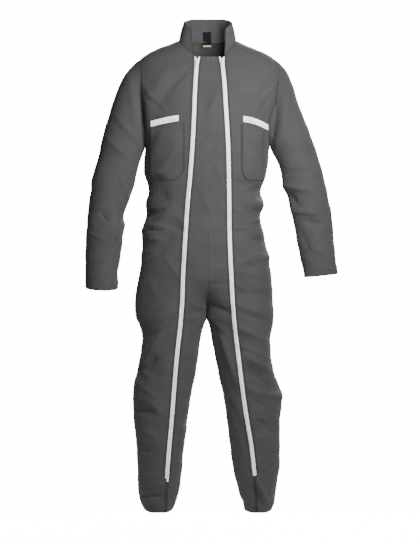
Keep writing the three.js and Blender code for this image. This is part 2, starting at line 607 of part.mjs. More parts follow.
function buildTrunk() {
  const centreEdges = (z) => [
    frontTheta(tableValue(ZIP_LINES, 'left', z) + zipHalf(z) + SEAM, z),
    frontTheta(tableValue(ZIP_LINES, 'right', z) - zipHalf(z) - SEAM, z),
  ];
  const centreRows = rowsBetween(UPPER_ROWS, CENTRE_TOP_Z, WAIST_Z);
  addPiece('front_centre',
    panelGeometry(trunkPoint, centreRows, COLUMNS.frontCentre, centreEdges), COLORS.cloth);
  const backEdges = (z) => [upperBackEdge('left', z), upperBackEdge('right', z)];
  addPiece('back_upper',
    panelGeometry(trunkPoint, rowsBetween(UPPER_ROWS, 0, WAIST_Z), COLUMNS.back, backEdges),
    COLORS.cloth);
  for (const side of ['left', 'right']) {
    const edges = (z) => upperFrontEdges(side, z);
    addPiece(`front_side_${side}`,
      panelGeometry(trunkPoint, rowsBetween(UPPER_ROWS, -2, WAIST_Z), COLUMNS.frontSide, edges),
      COLORS.cloth);
  }
}

function buildLegs() {
  for (const side of ['left', 'right']) {
    const surface = legSurface(side);
    const end = ZIP_END_Z[side];
    const rows = rowsBetween([...LOWER_ROWS, end, end - SEAM].sort((a, b) => b - a), WAIST_Z, HEM_Z);
    const step = (share, z) => aroundStep(surface, share, z, HALF_SEAM);
    const keep = keepOnSide(side);
    const pieces = [
      [`front_inner_${side}`, COLUMNS.inner,
        (z) => [step(SEAM_SHARE, z), lowerZipEdge(side, z, -1)]],
      [`front_outer_${side}`, COLUMNS.outer,
        (z) => [lowerZipEdge(side, z, 1), 0.5 - step(0.5, z)]],
      [`back_leg_${side}`, COLUMNS.backLeg,
        (z) => [0.5 + step(0.5, z), 1 - step(1 - SEAM_SHARE, z)]],
    ];
    for (const [name, columns, edges] of pieces) {
      addPiece(name, panelGeometry(surface, rows, columns, edges, WALL, keep), COLORS.cloth);
    }
  }
}

// Sleeves

// Points round an armhole, from the shoulder down the front and up the back
function armholePoints(side) {
  const sign = side === 'left' ? -1 : 1;
  const levels = UPPER_ROWS.filter((z) => z < SHOULDER_Z && z > ARMPIT_Z);
  const sideTheta = sign < 0 ? radians(180) : 0;
  const points = [trunkPoint(sideTheta, SHOULDER_Z)];
  for (const z of levels) {
    points.push(trunkPoint(upperFrontEdges(side, z)[1], z));
  }
  points.push(trunkPoint(sideTheta, ARMPIT_Z));
  for (const z of [...levels].reverse()) {
    points.push(trunkPoint(upperBackEdge(side, z), z));
  }
  for (const point of points) {
    point.x += sign * SLEEVE_GAP;
  }
  return points;
}

function sleeveGeometry(side, table) {
  const sign = side === 'left' ? -1 : 1;
  const first = armholePoints(side);
  const count = first.length;
  const height = SHOULDER_Z - ARMPIT_Z;
  const turns = first.map((point, index) => {
    const turn = Math.acos(clamp(1 - 2 * (SHOULDER_Z - point.z) / height, -1, 1));
    return index <= count / 2 ? turn : 2 * Math.PI - turn;
  });
  const rings = [first];
  table.forEach((row, index) => {
    const evenness = smoothStep(0, EVEN_RING, index);
    const ring = turns.map((turn, column) => {
      const angle = mix(turn, 2 * Math.PI * column / count, evenness);
      const across = (1 - Math.cos(angle)) / 2;
      const forward = Math.sin(angle);
      const depth = forward > 0 ? row.front : row.back;
      const point = new THREE.Vector3(mix(row.outX, row.inX, across), row.y - depth * forward,
        mix(row.outZ, row.inZ, across) - row.drop * Math.abs(forward));
      const lift = foldLift(point.x, point.y, point.z);
      point.x += sign * lift * Math.cos(angle);
      point.y -= lift * forward;
      return point;
    });
    rings.push(ring);
  });
  const normals = gridNormals(rings, true);
  for (const normal of normals[0]) {
    if (normal.x * sign > 0) {
      normal.x = 0;
      normal.normalize();
    }
  }
  return thickened(rings, normals, WALL, true);
}

// Normals of a grid of points, pointing away from the middle of each row
function gridNormals(rows, closed) {
  return rows.map((row, r) => {
    const middle = new THREE.Vector3();
    row.forEach((point) => middle.addScaledVector(point, 1 / row.length));
    const above = rows[Math.max(r - 1, 0)];
    const below = rows[Math.min(r + 1, rows.length - 1)];
    const last = row.length - 1;
    return row.map((point, c) => {
      const before = closed ? (c + last) % (last + 1) : Math.max(c - 1, 0);
      const after = closed ? (c + 1) % (last + 1) : Math.min(c + 1, last);
      const normal = row[after].clone().sub(row[before]).cross(above[c].clone().sub(below[c]));
      normal.normalize();
      return normal.dot(point.clone().sub(middle)) < 0 ? normal.negate() : normal;
    });
  });
}

function thickened(rows, normals, thickness, closed) {
  const inner = rows.map((row, r) =>
    row.map((point, c) => point.clone().addScaledVector(normals[r][c], -thickness)));
  return gridGeometry(rows, inner, closed);
}

// Stand collar

function collarGeometry() {
  const grid = Array.from({ length: COLLAR.rows }, () => []);
  for (let step = 0; step <= COLLAR.columns; step += 1) {
    const around = -1 + 2 * step / COLLAR.columns;
    const theta = radians(90 - around * COLLAR.endAngle);
    const size = Math.abs(around);
    const side = around < 0 ? 'left' : 'right';
    let base;
    if (size <= COLLAR.neckShare) {
      base = trunkPoint(radians(90 - 90 * around / COLLAR.neckShare), 0);
    } else {
      const share = (size - COLLAR.neckShare) / (1 - COLLAR.neckShare);
      const sign = around < 0 ? -1 : 1;
      const z = COLLAR_FRONT_Z * share;
      const x = mix(sign * tableValue(TRUNK, side, 0), neckEndX(side), share);
      base = trunkPoint(frontTheta(x, z), z);
    }
    base.z += SEAM;
    const radius = roundedRadius(theta, COLLAR.halfX, COLLAR.halfY, SQUARENESS);
    const topZ = mix(COLLAR.back, COLLAR.side, smoothStep(0.3, 0.75, size))
      - COLLAR.frontDrop * smoothStep(0.75, 1, size);
    const end = new THREE.Vector3(radius * Math.cos(theta),
      COLLAR.y + radius * Math.sin(theta), topZ);
    for (let row = 0; row < COLLAR.rows; row += 1) {
      const share = row / (COLLAR.rows - 1);
      const point = base.clone().lerp(end, share);
      const bulge = COLLAR.bulge * Math.sin(Math.PI * share);
      point.x += bulge * Math.cos(theta);
      point.y += bulge * Math.sin(theta);
      grid[row].push(point);
    }
  }
  const normals = gridNormals(grid, false);
  for (const normal of normals[0]) {
    normal.z = Math.min(normal.z, 0);
    normal.normalize();
  }
  return thickened(grid, normals, COLLAR_WALL, false);
}

// What is sewn on the fronts

// Outer points and normals of an upper front panel at its rows and columns
function frontGrid(side) {
  return UPPER_ROWS.map((z) => {
    const [from, to] = upperFrontEdges(side, z);
    return Array.from({ length: COLUMNS.frontSide + 1 }, (_, column) => {
      const theta = mix(from, to, column / COLUMNS.frontSide);
      return { point: trunkPoint(theta, z), normal: surfaceNormal(trunkPoint, theta, z) };
    });
  });
}

const FRONT_GRIDS = { left: frontGrid('left'), right: frontGrid('right') };

// Point and normal on the facets of an upper front panel; across is 0 at the zip, 1 at the side
function facetPoint(side, across, z) {
  const low = UPPER_ROWS.findIndex((level) => level < z);
  const column = Math.min(Math.floor(across * COLUMNS.frontSide), COLUMNS.frontSide - 1);
  const along = across * COLUMNS.frontSide - column;
  const down = (UPPER_ROWS[low - 1] - z) / (UPPER_ROWS[low - 1] - UPPER_ROWS[low]);
  const [point, normal] = ['point', 'normal'].map((kind) => {
    const [top, bottom] = [low - 1, low].map((row) => {
      const cells = FRONT_GRIDS[side][row];
      return cells[column][kind].clone().lerp(cells[column + 1][kind], along);
    });
    return top.lerp(bottom, down);
  });
  return { point, normal: normal.normalize() };
}

// Position across an upper front panel where it reaches a given x
function acrossAt(side, x, z) {
  return findAround((across, level) => facetPoint(side, across, level).point, z, x, 0, 0.999);
}

// A layer that lies on the facets of an upper front panel; rows hold { across, z, extra }
function layerGeometry(side, rows, gap, thickness) {
  const outer = [];
  const inner = [];
  for (const row of rows) {
    const places = row.map(({ across, z }) => facetPoint(side, across, z));
    inner.push(places.map(({ point, normal }) => point.clone().addScaledVector(normal, gap)));
    outer.push(places.map(({ point, normal }, index) =>
      point.clone().addScaledVector(normal, gap + thickness + row[index].extra)));
  }
  return gridGeometry(outer, inner, false);
}

// Patch pocket; its rows and columns follow those of the panel that it lies on
function pocketGeometry(side) {
  const shape = POCKETS[side];
  const columns = COLUMNS.frontSide;
  const bendStart = shape.bottom + POCKET_CURVE;
  const top = (shape.topInner + shape.topOuter) / 2;
  const inside = UPPER_ROWS.filter((z) => z < shape.topOuter - POCKET_LEVELS.belowTop
    && z > shape.bottom + POCKET_LEVELS.aboveBottom);
  const levels = [top, ...inside, ...POCKET_LEVELS.curve.map((height) => shape.bottom + height)];
  const spans = levels.map((z) => {
    const bend = clamp((bendStart - z) / (bendStart - shape.bottom), 0, 1);
    const cut = shape.corner * (1 - Math.sqrt(1 - bend * bend));
    const straight = acrossAt(side, shape.innerX, z);
    const start = acrossAt(side, shape.innerX + Math.sign(shape.innerX) * cut, z);
    return { straight, start, end: acrossAt(side, shape.outerX, z) };
  });
  const first = Math.min(...spans.map(({ straight }) => Math.floor(straight * columns) + 1));
  const last = Math.max(...spans.map(({ end }) => Math.ceil(end * columns) - 1));
  const least = 0.008;           // between two samples that crowd at a side edge
  const rows = spans.map(({ start, end }, index) => {
    const samples = [start];
    for (let column = first; column <= last; column += 1) {
      const low = start + least * samples.length;
      const high = end - least * (last - column + 1);
      samples.push(clamp(column / columns, low, high));
    }
    samples.push(end);
    return samples.map((across) => {
      const slant = mix(shape.topInner, shape.topOuter, (across - start) / (end - start));
      return { across, z: index === 0 ? slant : levels[index], extra: 0 };
    });
  });
  return layerGeometry(side, rows, PATCH_GAP, PATCH_WALL);
}

function pocketZipPlace(side, along, across) {
  const shape = POCKET_ZIPS[side];
  const z = mix(shape.innerZ, shape.outerZ, along) + shape.rise * Math.sin(Math.PI * along);
  return { x: mix(shape.innerX, shape.outerX, along), z: z - across * POCKET_ZIP_HALF };
}

function pocketZipGeometry(side) {
  const steps = 9;
  const profile = [-1, -POCKET_COIL_SHARE, POCKET_COIL_SHARE, 1];
  const rows = [];
  for (let step = 0; step <= steps; step += 1) {
    rows.push(profile.map((offset) => {
      const { x, z } = pocketZipPlace(side, step / steps, offset);
      const extra = Math.abs(offset) < 1 ? COIL_HEIGHT : 0;
      return { across: acrossAt(side, x, z), z, extra };
    }));
  }
  return layerGeometry(side, rows, POCKET_ZIP_GAP, POCKET_ZIP_WALL);
}

// Long zips: a tape with a raised coil, in the gap between the front panels

function longZipGeometry(side) {
  const top = CENTRE_TOP_Z;
  const end = ZIP_END_Z[side] + SEAM;
  const rows = rowsBetween([...UPPER_ROWS, ...LOWER_ROWS.slice(1)], top, end);
  const outer = [];
  const inner = [];
  for (const z of rows) {
    const middle = tableValue(ZIP_LINES, side, z);
    const half = zipHalf(z);
    const coil = z > SHOULDER_Z ? 0 : COIL_HEIGHT;
    const outerRow = [];
    const innerRow = [];
    for (const [offset, height] of [[-half, 0], [-COIL_HALF, coil], [COIL_HALF, coil], [half, 0]]) {
      const { point, normal } = frontFrame(side, middle + offset, z);
      outerRow.push(point.clone().addScaledVector(normal, height));
      innerRow.push(point.addScaledVector(normal, -WALL));
    }
    outer.push(outerRow);
    inner.push(innerRow);
  }
  return gridGeometry(outer, inner, false);
}

// Sliders, one solid with their zip, and the pull tabs that hang on their bridges
// In a slider's own frame X is across the zip, Y along it and Z out of the cloth.

function sliderGeometries() {
  const half = SLIDER.width / 2;
  const reach = SLIDER.length / 2;
  const plan = new THREE.Shape([
    new THREE.Vector2(-half, reach), new THREE.Vector2(-SLIDER.waist / 2, -reach),
    new THREE.Vector2(SLIDER.waist / 2, -reach), new THREE.Vector2(half, reach),
  ]);
  const body = new THREE.ExtrudeGeometry(plan,
    { depth: SLIDER.top + SLIDER.sink, bevelEnabled: false });
  body.translate(0, 0, -SLIDER.sink);
  const arch = new THREE.Shape([
    new THREE.Vector2(-BRIDGE.outer, BRIDGE.foot), new THREE.Vector2(-BRIDGE.inner, BRIDGE.foot),
    new THREE.Vector2(-BRIDGE.inner, BRIDGE.opening), new THREE.Vector2(BRIDGE.inner, BRIDGE.opening),
    new THREE.Vector2(BRIDGE.inner, BRIDGE.foot), new THREE.Vector2(BRIDGE.outer, BRIDGE.foot),
    new THREE.Vector2(BRIDGE.outer, BRIDGE.opening), new THREE.Vector2(BRIDGE.inner, BRIDGE.top),
    new THREE.Vector2(-BRIDGE.inner, BRIDGE.top), new THREE.Vector2(-BRIDGE.outer, BRIDGE.opening),
  ]);
  const bridge = new THREE.ExtrudeGeometry(arch, { depth: BRIDGE.width, bevelEnabled: false });
  bridge.translate(0, 0, -BRIDGE.width / 2);
  bridge.applyMatrix4(new THREE.Matrix4().makeBasis(new THREE.Vector3(0, 1, 0),
    new THREE.Vector3(0, 0, 1), new THREE.Vector3(1, 0, 0)));
  return [body, bridge];
}

function tabGeometry() {
  const half = TAB.width / 2;
  const corner = TAB.cornerHeight - TAB.length;
  const outline = new THREE.Shape([
    new THREE.Vector2(-half, TAB.bar), new THREE.Vector2(-half - TAB.flare, corner),
    new THREE.Vector2(-half + TAB.cornerWidth, -TAB.length),
    new THREE.Vector2(half - TAB.cornerWidth, -TAB.length),
    new THREE.Vector2(half + TAB.flare, corner), new THREE.Vector2(half, TAB.bar),
  ]);
  const inside = half - TAB.rail;
  outline.holes.push(new THREE.Path([
    new THREE.Vector2(-inside, -TAB.bar), new THREE.Vector2(inside, -TAB.bar),
    new THREE.Vector2(inside, -TAB.window), new THREE.Vector2(-inside, -TAB.window),
  ]));
  const geometry = new THREE.ExtrudeGeometry(outline, { depth: TAB.thick, bevelEnabled: false });
  geometry.translate(0, 0, -TAB.thick / 2);
  return geometry;
}

// Frame of a slider that sits at a point of the cloth, its Y axis along a direction
function sliderMatrix(point, normal, along) {
  const across = along.clone().cross(normal).normalize();
  const straight = normal.clone().cross(across);
  return new THREE.Matrix4().makeBasis(across, straight, normal).setPosition(point);
}

const library = await Module();
library.setup();

function toSolid(geometry) {
  const bare = geometry.index ? geometry : mergedGeometry(geometry);
  return new library.Manifold(new library.Mesh({
    numProp: 3,
    vertProperties: new Float32Array(bare.attributes.position.array),
    triVerts: new Uint32Array(bare.index.array),
  }));
}

function mergedGeometry(geometry) {
  const bare = geometry.clone();
  bare.deleteAttribute('normal');
  bare.deleteAttribute('uv');
  return mergeVertices(bare, 1e-4);
}

function joined(geometries) {
  const solids = geometries.map(toSolid);
  const { vertProperties, triVerts } = solids.reduce((a, b) => a.add(b)).getMesh();
  const geometry = new THREE.BufferGeometry();
  geometry.setAttribute('position', new THREE.Float32BufferAttribute(vertProperties, 3));
  geometry.setIndex([...triVerts]);
  return geometry;
}

// A zip with its sliders, and a tab on each; places gives each slider's name and frame
function addZip(name, tape, places) {
  const parts = [tape];
  for (const { matrix } of places) {
    parts.push(...sliderGeometries().map((geometry) => mergedGeometry(geometry).applyMatrix4(matrix)));
  }
  addPiece(name, joined(parts), COLORS.zip, 0.6);
  for (const { tab, matrix } of places) {
    const mesh = addPiece(tab, tabGeometry(), COLORS.tab, 0.5);
    mesh.applyMatrix4(matrix.clone().multiply(new THREE.Matrix4().makeTranslation(0, 0, TAB.axis)));
  }
}

function buildZips() {
  for (const side of ['left', 'right']) {
    const places = [['top', SLIDER_TOP_Z], ['lower', ZIP_END_Z[side] + SLIDER_END]].map(([which, z]) => {
      const { point, normal } = frontFrame(side, tableValue(ZIP_LINES, side, z), z);
      const [above, below] = [z + SLIDER_REACH, z - SLIDER_REACH].map((level) =>
        frontFrame(side, tableValue(ZIP_LINES, side, level), level).point);
      return { tab: `tab_${which}_${side}`, matrix: sliderMatrix(point, normal, above.sub(below)) };
    });
    addZip(`long_zip_${side}`, longZipGeometry(side), places);
    const spot = pocketZipPlace(side, POCKET_SLIDER_SHARE, 0);
    const start = pocketZipPlace(side, 0, 0);
    const { point, normal } = facetPoint(side, acrossAt(side, spot.x, spot.z), spot.z);
    const along = facetPoint(side, acrossAt(side, start.x, start.z), start.z).point.sub(point);
    point.addScaledVector(normal, POCKET_ZIP_GAP + POCKET_ZIP_WALL);
    const matrix = sliderMatrix(point, normal, along);
    addZip(`pocket_zip_${side}`, pocketZipGeometry(side), [{ tab: `tab_pocket_${side}`, matrix }]);
  }
}

function buildRest() {
  addPiece('collar', collarGeometry(), COLORS.cloth);
  addPiece('sleeve_left', sleeveGeometry('left', SLEEVE_LEFT), COLORS.cloth);
  addPiece('sleeve_right', sleeveGeometry('right', SLEEVE_RIGHT), COLORS.cloth);
  addPiece('chest_pocket_left', pocketGeometry('left'), COLORS.cloth);
  addPiece('chest_pocket_right', pocketGeometry('right'), COLORS.cloth);
  const label = addPiece('neck_label',
    new THREE.BoxGeometry(LABEL.width, LABEL.thick, LABEL.height), COLORS.label);
  label.position.set(LABEL.x, LABEL.y, LABEL.z);
}

buildTrunk();
buildLegs();
buildRest();
buildZips();

export default suit;
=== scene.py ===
# %% [markdown]
# # A boiler suit with two long zips
# The suit hangs in the form that a wearer gives it, hollow and open at the neck, cuffs and hems.
# Every panel of cloth is a thin shell on a surface that a few formulas describe. The same
# formulas place the seams, stitches and zips, so nothing has to be fitted by eye afterwards.

# %% Load the frame
import math
import bpy
import numpy as np
from mathutils import Matrix, Vector


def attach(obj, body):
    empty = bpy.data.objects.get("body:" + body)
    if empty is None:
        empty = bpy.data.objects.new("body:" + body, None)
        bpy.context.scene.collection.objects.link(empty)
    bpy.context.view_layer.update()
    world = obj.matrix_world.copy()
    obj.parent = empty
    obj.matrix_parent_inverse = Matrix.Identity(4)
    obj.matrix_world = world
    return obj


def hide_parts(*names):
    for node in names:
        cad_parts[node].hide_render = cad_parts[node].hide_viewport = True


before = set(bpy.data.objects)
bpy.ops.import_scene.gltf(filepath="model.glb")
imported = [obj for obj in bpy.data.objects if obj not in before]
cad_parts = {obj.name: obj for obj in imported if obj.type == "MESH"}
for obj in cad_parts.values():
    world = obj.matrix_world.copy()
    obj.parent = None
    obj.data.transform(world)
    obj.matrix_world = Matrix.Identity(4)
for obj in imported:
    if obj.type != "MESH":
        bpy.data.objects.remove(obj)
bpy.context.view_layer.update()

MM = 0.001
rng = np.random.default_rng(7)

# %% [markdown]
# ## Camera
# A catalogue photo is taken from far away with a long lens, so that the garment keeps its
# proportions. The camera looks level along +Y, and the frame is 1.8 m tall at the garment.

# %% Camera
CAMERA_DISTANCE = 30.0
FRAME_HEIGHT = 1.8
FRAME_CENTRE = (0.0067, -0.7633)
camera_data = bpy.data.cameras.new("camera")
camera_data.sensor_fit = "VERTICAL"
camera_data.sensor_height = 36
camera_data.lens = 36 * CAMERA_DISTANCE / FRAME_HEIGHT
camera_data.clip_end = 200
camera = bpy.data.objects.new("camera", camera_data)
camera.location = (FRAME_CENTRE[0], -CAMERA_DISTANCE, FRAME_CENTRE[1])
camera.rotation_euler = (math.radians(90), 0, 0)
bpy.context.scene.collection.objects.link(camera)
bpy.context.scene.camera = camera
print("lens:", round(camera_data.lens), "mm")

# %% [markdown]
# ## The form in tables
# The garment is drafted like a lofted hull: each row of a table is a level, and a smooth curve
# runs through the rows. All sizes are in millimetres here and become metres when a mesh is made.

# %% Tables of the form
def table(names, rows):
    values = np.array(rows, dtype=float)
    return {name: values[:, index] for index, name in enumerate(names.split())}

# Half-widths of the trunk to the left and right, depths to the front and back
TRUNK = table("z left right front back", [
    (0, 97, 94, 44, 56), (-12, 128, 119, 53, 69), (-23, 160, 146, 60, 79),
    (-43, 200, 193, 71, 93), (-62, 226, 222, 80, 102), (-80, 238, 240, 88, 109),
    (-113, 246, 254, 102, 119), (-170, 246, 254, 120, 129), (-210, 241, 245, 128, 132),
    (-253, 233, 230, 134, 131), (-297, 222, 216, 138, 127), (-350, 208, 205, 139, 121),
    (-403, 213, 200, 137, 115), (-443, 213, 193, 134, 111), (-503, 197, 177, 127, 108),
    (-543, 207, 183, 125, 109), (-583, 207, 173, 124, 111), (-633, 220, 183, 126, 116),
    (-703, 217, 197, 129, 127), (-783, 230, 210, 127, 134), (-863, 243, 217, 120, 130),
    (-923, 240, 218, 110, 119)])

# Distance of the armhole seams from the middle, on the left and right fronts and on the back
ARMHOLE = table("z frontLeft frontRight back", [
    (-62, 226, 222, 222), (-80, 223, 230, 219), (-113, 221, 238, 212), (-170, 224, 239, 201),
    (-210, 221, 222, 196), (-253, 217, 205, 193), (-297, 210, 201, 192), (-350, 208, 205, 205)])

# Outer and inner outlines of the legs, and their depths
LEGS = table("z leftOuter leftInner rightInner rightOuter front back", [
    (-633, 220, 0, 0, 183, 126, 116), (-703, 217, 0, 0, 197, 122, 127),
    (-783, 230, 1, -1, 210, 117, 132), (-863, 243, 3, -3, 217, 112, 127),
    (-923, 240, 5, -5, 218, 107, 118), (-943, 230, 12, 3, 217, 104, 116),
    (-983, 218, 23, 11, 208, 100, 112), (-1023, 222, 30, 18, 207, 97, 109),
    (-1063, 227, 37, 26, 210, 96, 105), (-1103, 238, 43, 34, 220, 95, 100),
    (-1143, 249, 50, 43, 236, 94, 96), (-1183, 251, 57, 53, 246, 92, 92),
    (-1263, 247, 70, 63, 240, 88, 87), (-1343, 240, 80, 73, 241, 83, 84),
    (-1423, 233, 87, 83, 237, 79, 80), (-1463, 233, 92, 92, 231, 76, 77),
    (-1503, 233, 97, 102, 227, 72, 74), (-1543, 224, 109, 117, 221, 65, 67),
    (-1572, 208, 121, 124, 211, 56, 58)])

# Centre lines of the long zips
ZIPS = table("z left right", [
    (-47, -35, 45), (-143, -41.5, 55), (-223, -45, 60), (-303, -48.5, 65), (-383, -53.5, 68.5),
    (-463, -60, 70), (-543, -67.5, 71), (-623, -73, 72), (-703, -78, 74), (-783, -82.5, 78),
    (-863, -85, 82), (-943, -91, 88), (-1023, -100, 98), (-1103, -107.5, 108),
    (-1183, -114, 118), (-1263, -120, 130), (-1343, -127.5, 143.5), (-1423, -134, 153),
    (-1500, -138, 159), (-1572, -142, 163)])

# Sleeve rings, from a point on the outer outline to one on the inner outline
SLEEVES = {
    "left": table("outX outZ inX inZ front back y drop", [
        (-250, -81, -211, -357, 67, 84, 0, 0), (-271, -104, -214, -366, 72, 82, -1, 0),
        (-288, -132, -218, -377, 74, 80, -2, 0), (-303, -166, -222, -391, 74, 77, -4, 0),
        (-317, -205, -228, -408, 73, 74, -6, 0), (-331, -250, -234, -430, 71, 72, -8, 0),
        (-345, -300, -241, -458, 69, 70, -10, 0), (-358, -350, -250, -490, 67, 68, -13, 0),
        (-370, -402, -260, -522, 66, 66, -16, 0), (-381, -455, -272, -553, 65, 64, -20, 0),
        (-391, -508, -280, -585, 64, 62, -24, 0), (-399, -560, -281, -622, 62, 60, -28, 0),
        (-405, -612, -284, -660, 60, 58, -32, 0), (-407, -662, -288, -697, 58, 57, -35, 0),
        (-407, -710, -293, -733, 57, 56, -38, 2), (-409, -757, -298, -768, 56, 55, -40, 5),
        (-409, -797, -299, -803, 55, 55, -41, 8), (-407, -822, -301, -825, 54, 54, -41, 9)]),
    "right": table("outX outZ inX inZ front back y drop", [
        (245, -81, 208, -357, 67, 84, 0, 0), (264, -105, 211, -365, 72, 82, -1, 0),
        (279, -139, 215, -375, 74, 80, -2, 0), (292, -177, 222, -387, 74, 77, -4, 0),
        (305, -217, 231, -403, 73, 74, -6, 0), (321, -258, 238, -424, 71, 72, -8, 0),
        (337, -303, 244, -452, 69, 70, -10, 0), (354, -346, 252, -482, 67, 68, -13, 0),
        (369, -390, 262, -513, 66, 66, -16, 0), (382, -436, 271, -546, 65, 64, -20, 0),
        (393, -486, 280, -583, 64, 62, -24, 0), (403, -537, 286, -620, 62, 60, -28, 0),
        (413, -587, 292, -655, 60, 58, -32, 0), (418, -637, 300, -690, 58, 57, -35, 0),
        (422, -685, 309, -724, 57, 56, -38, 0), (426, -727, 315, -754, 56, 55, -40, 0),
        (429, -757, 319, -774, 55, 55, -41, 0), (430, -777, 320, -788, 54, 54, -41, 1)]),
}

WAIST, SHOULDER, ARMPIT, PARTING, CROTCH, HEM = -633, -62, -350, -770, -923, -1572
COLLAR_FRONT, CENTRE_TOP = -47, -53
ZIP_END = {"left": -1456, "right": -1445}
ZIP_HALF, ZIP_TOP_HALF = 6.3, 9.2
SEAM = 0.3
SQUARENESS = 2.3
SIGN = {"left": -1, "right": 1}
print("levels of the trunk and legs:", len(TRUNK["z"]), len(LEGS["z"]))

# %% [markdown]
# ## Folds
# Worn twill doesn't lie smooth. It breaks into a few large folds at the waist, crotch, knees and
# elbows, and many small creases between them. Each row below is one ridge (height above 0) or
# trough, drawn along a line in the front view, and the cloth is pushed in or out around it.

# %% Folds
FOLD_COLUMNS = "x1 z1 x2 z2 width height"
CREASE_DEPTH, CREASE_OVERRUN = 1.75, 0.35
LARGE_FRONT_FOLDS = table(FOLD_COLUMNS, [
    (-128, -92, -176, -170, 20, 6), (-110, -118, -162, -204, 18, -6), (130, -84, 176, -160, 20, 5),
    (186, -170, 196, -250, 18, -6), (-196, -190, -192, -300, 16, 5), (30, -180, 12, -300, 24, 4),
    (-175, -462, -205, -470, 17, -6), (-150, -520, -207, -574, 20, -8),
    (-120, -560, -190, -640, 18, 6), (-115, -625, -160, -690, 20, -6),
    (-165, -668, -216, -716, 20, 7), (110, -480, 176, -500, 18, -7), (120, -528, 176, -552, 18, 7),
    (95, -630, 160, -668, 20, -7), (110, -735, 195, -718, 20, 6), (118, -835, 206, -860, 22, -7),
    (10, -880, 62, -906, 18, -5), (-30, -790, 30, -770, 24, 4), (103, -960, 176, -992, 22, 7),
    (-160, -985, -212, -1070, 20, 7), (-182, -1062, -226, -1110, 20, -8),
    (-70, -1000, -50, -1130, 22, 5), (130, -1052, 186, -1086, 20, 7),
    (138, -1100, 206, -1150, 20, -8), (50, -995, 92, -1128, 20, 6),
    (160, -1170, 240, -1184, 18, 6), (-236, -1226, -190, -1240, 20, -6),
    (166, -1292, 214, -1264, 20, -6), (-90, -1300, -110, -1400, 18, 5),
    (-218, -1514, -165, -1516, 15, -6), (-190, -1460, -150, -1464, 16, 4),
    (160, -1460, 192, -1524, 15, 7), (120, -1490, 158, -1520, 16, -5),
    (-262, -470, -288, -530, 18, 6), (-338, -584, -362, -600, 17, -7),
    (-288, -614, -312, -640, 17, 6), (-390, -470, -360, -430, 20, 5),
    (262, -486, 330, -496, 17, 6), (276, -520, 300, -548, 17, -6), (296, -566, 346, -572, 17, 6),
    (336, -604, 374, -612, 17, -6), (366, -642, 330, -720, 17, 5)])
LARGE_BACK_FOLDS = table(FOLD_COLUMNS, [
    (-150, -150, -60, -330, 26, 5), (155, -160, 70, -350, 26, 5), (-30, -120, 35, -126, 24, -4),
    (-170, -560, -60, -590, 18, 7), (160, -545, 40, -575, 18, 7), (-150, -520, 10, -540, 20, -6),
    (-140, -668, 20, -660, 20, 6), (30, -690, 150, -672, 20, 5), (-40, -860, -150, -900, 22, -7),
    (45, -868, 160, -915, 22, -7), (-80, -960, -190, -985, 22, 6), (80, -950, 180, -1010, 22, 6),
    (-80, -1120, -200, -1150, 20, -7), (85, -1130, 205, -1110, 20, -7),
    (-100, -1195, -215, -1210, 20, 6), (100, -1188, 215, -1200, 20, 6),
    (-120, -1420, -205, -1455, 20, 5), (125, -1440, 215, -1415, 20, 5),
    (-290, -430, -350, -400, 20, 5), (285, -425, 350, -400, 20, 5),
    (-300, -560, -380, -575, 19, -6), (300, -545, 395, -580, 19, -6)])
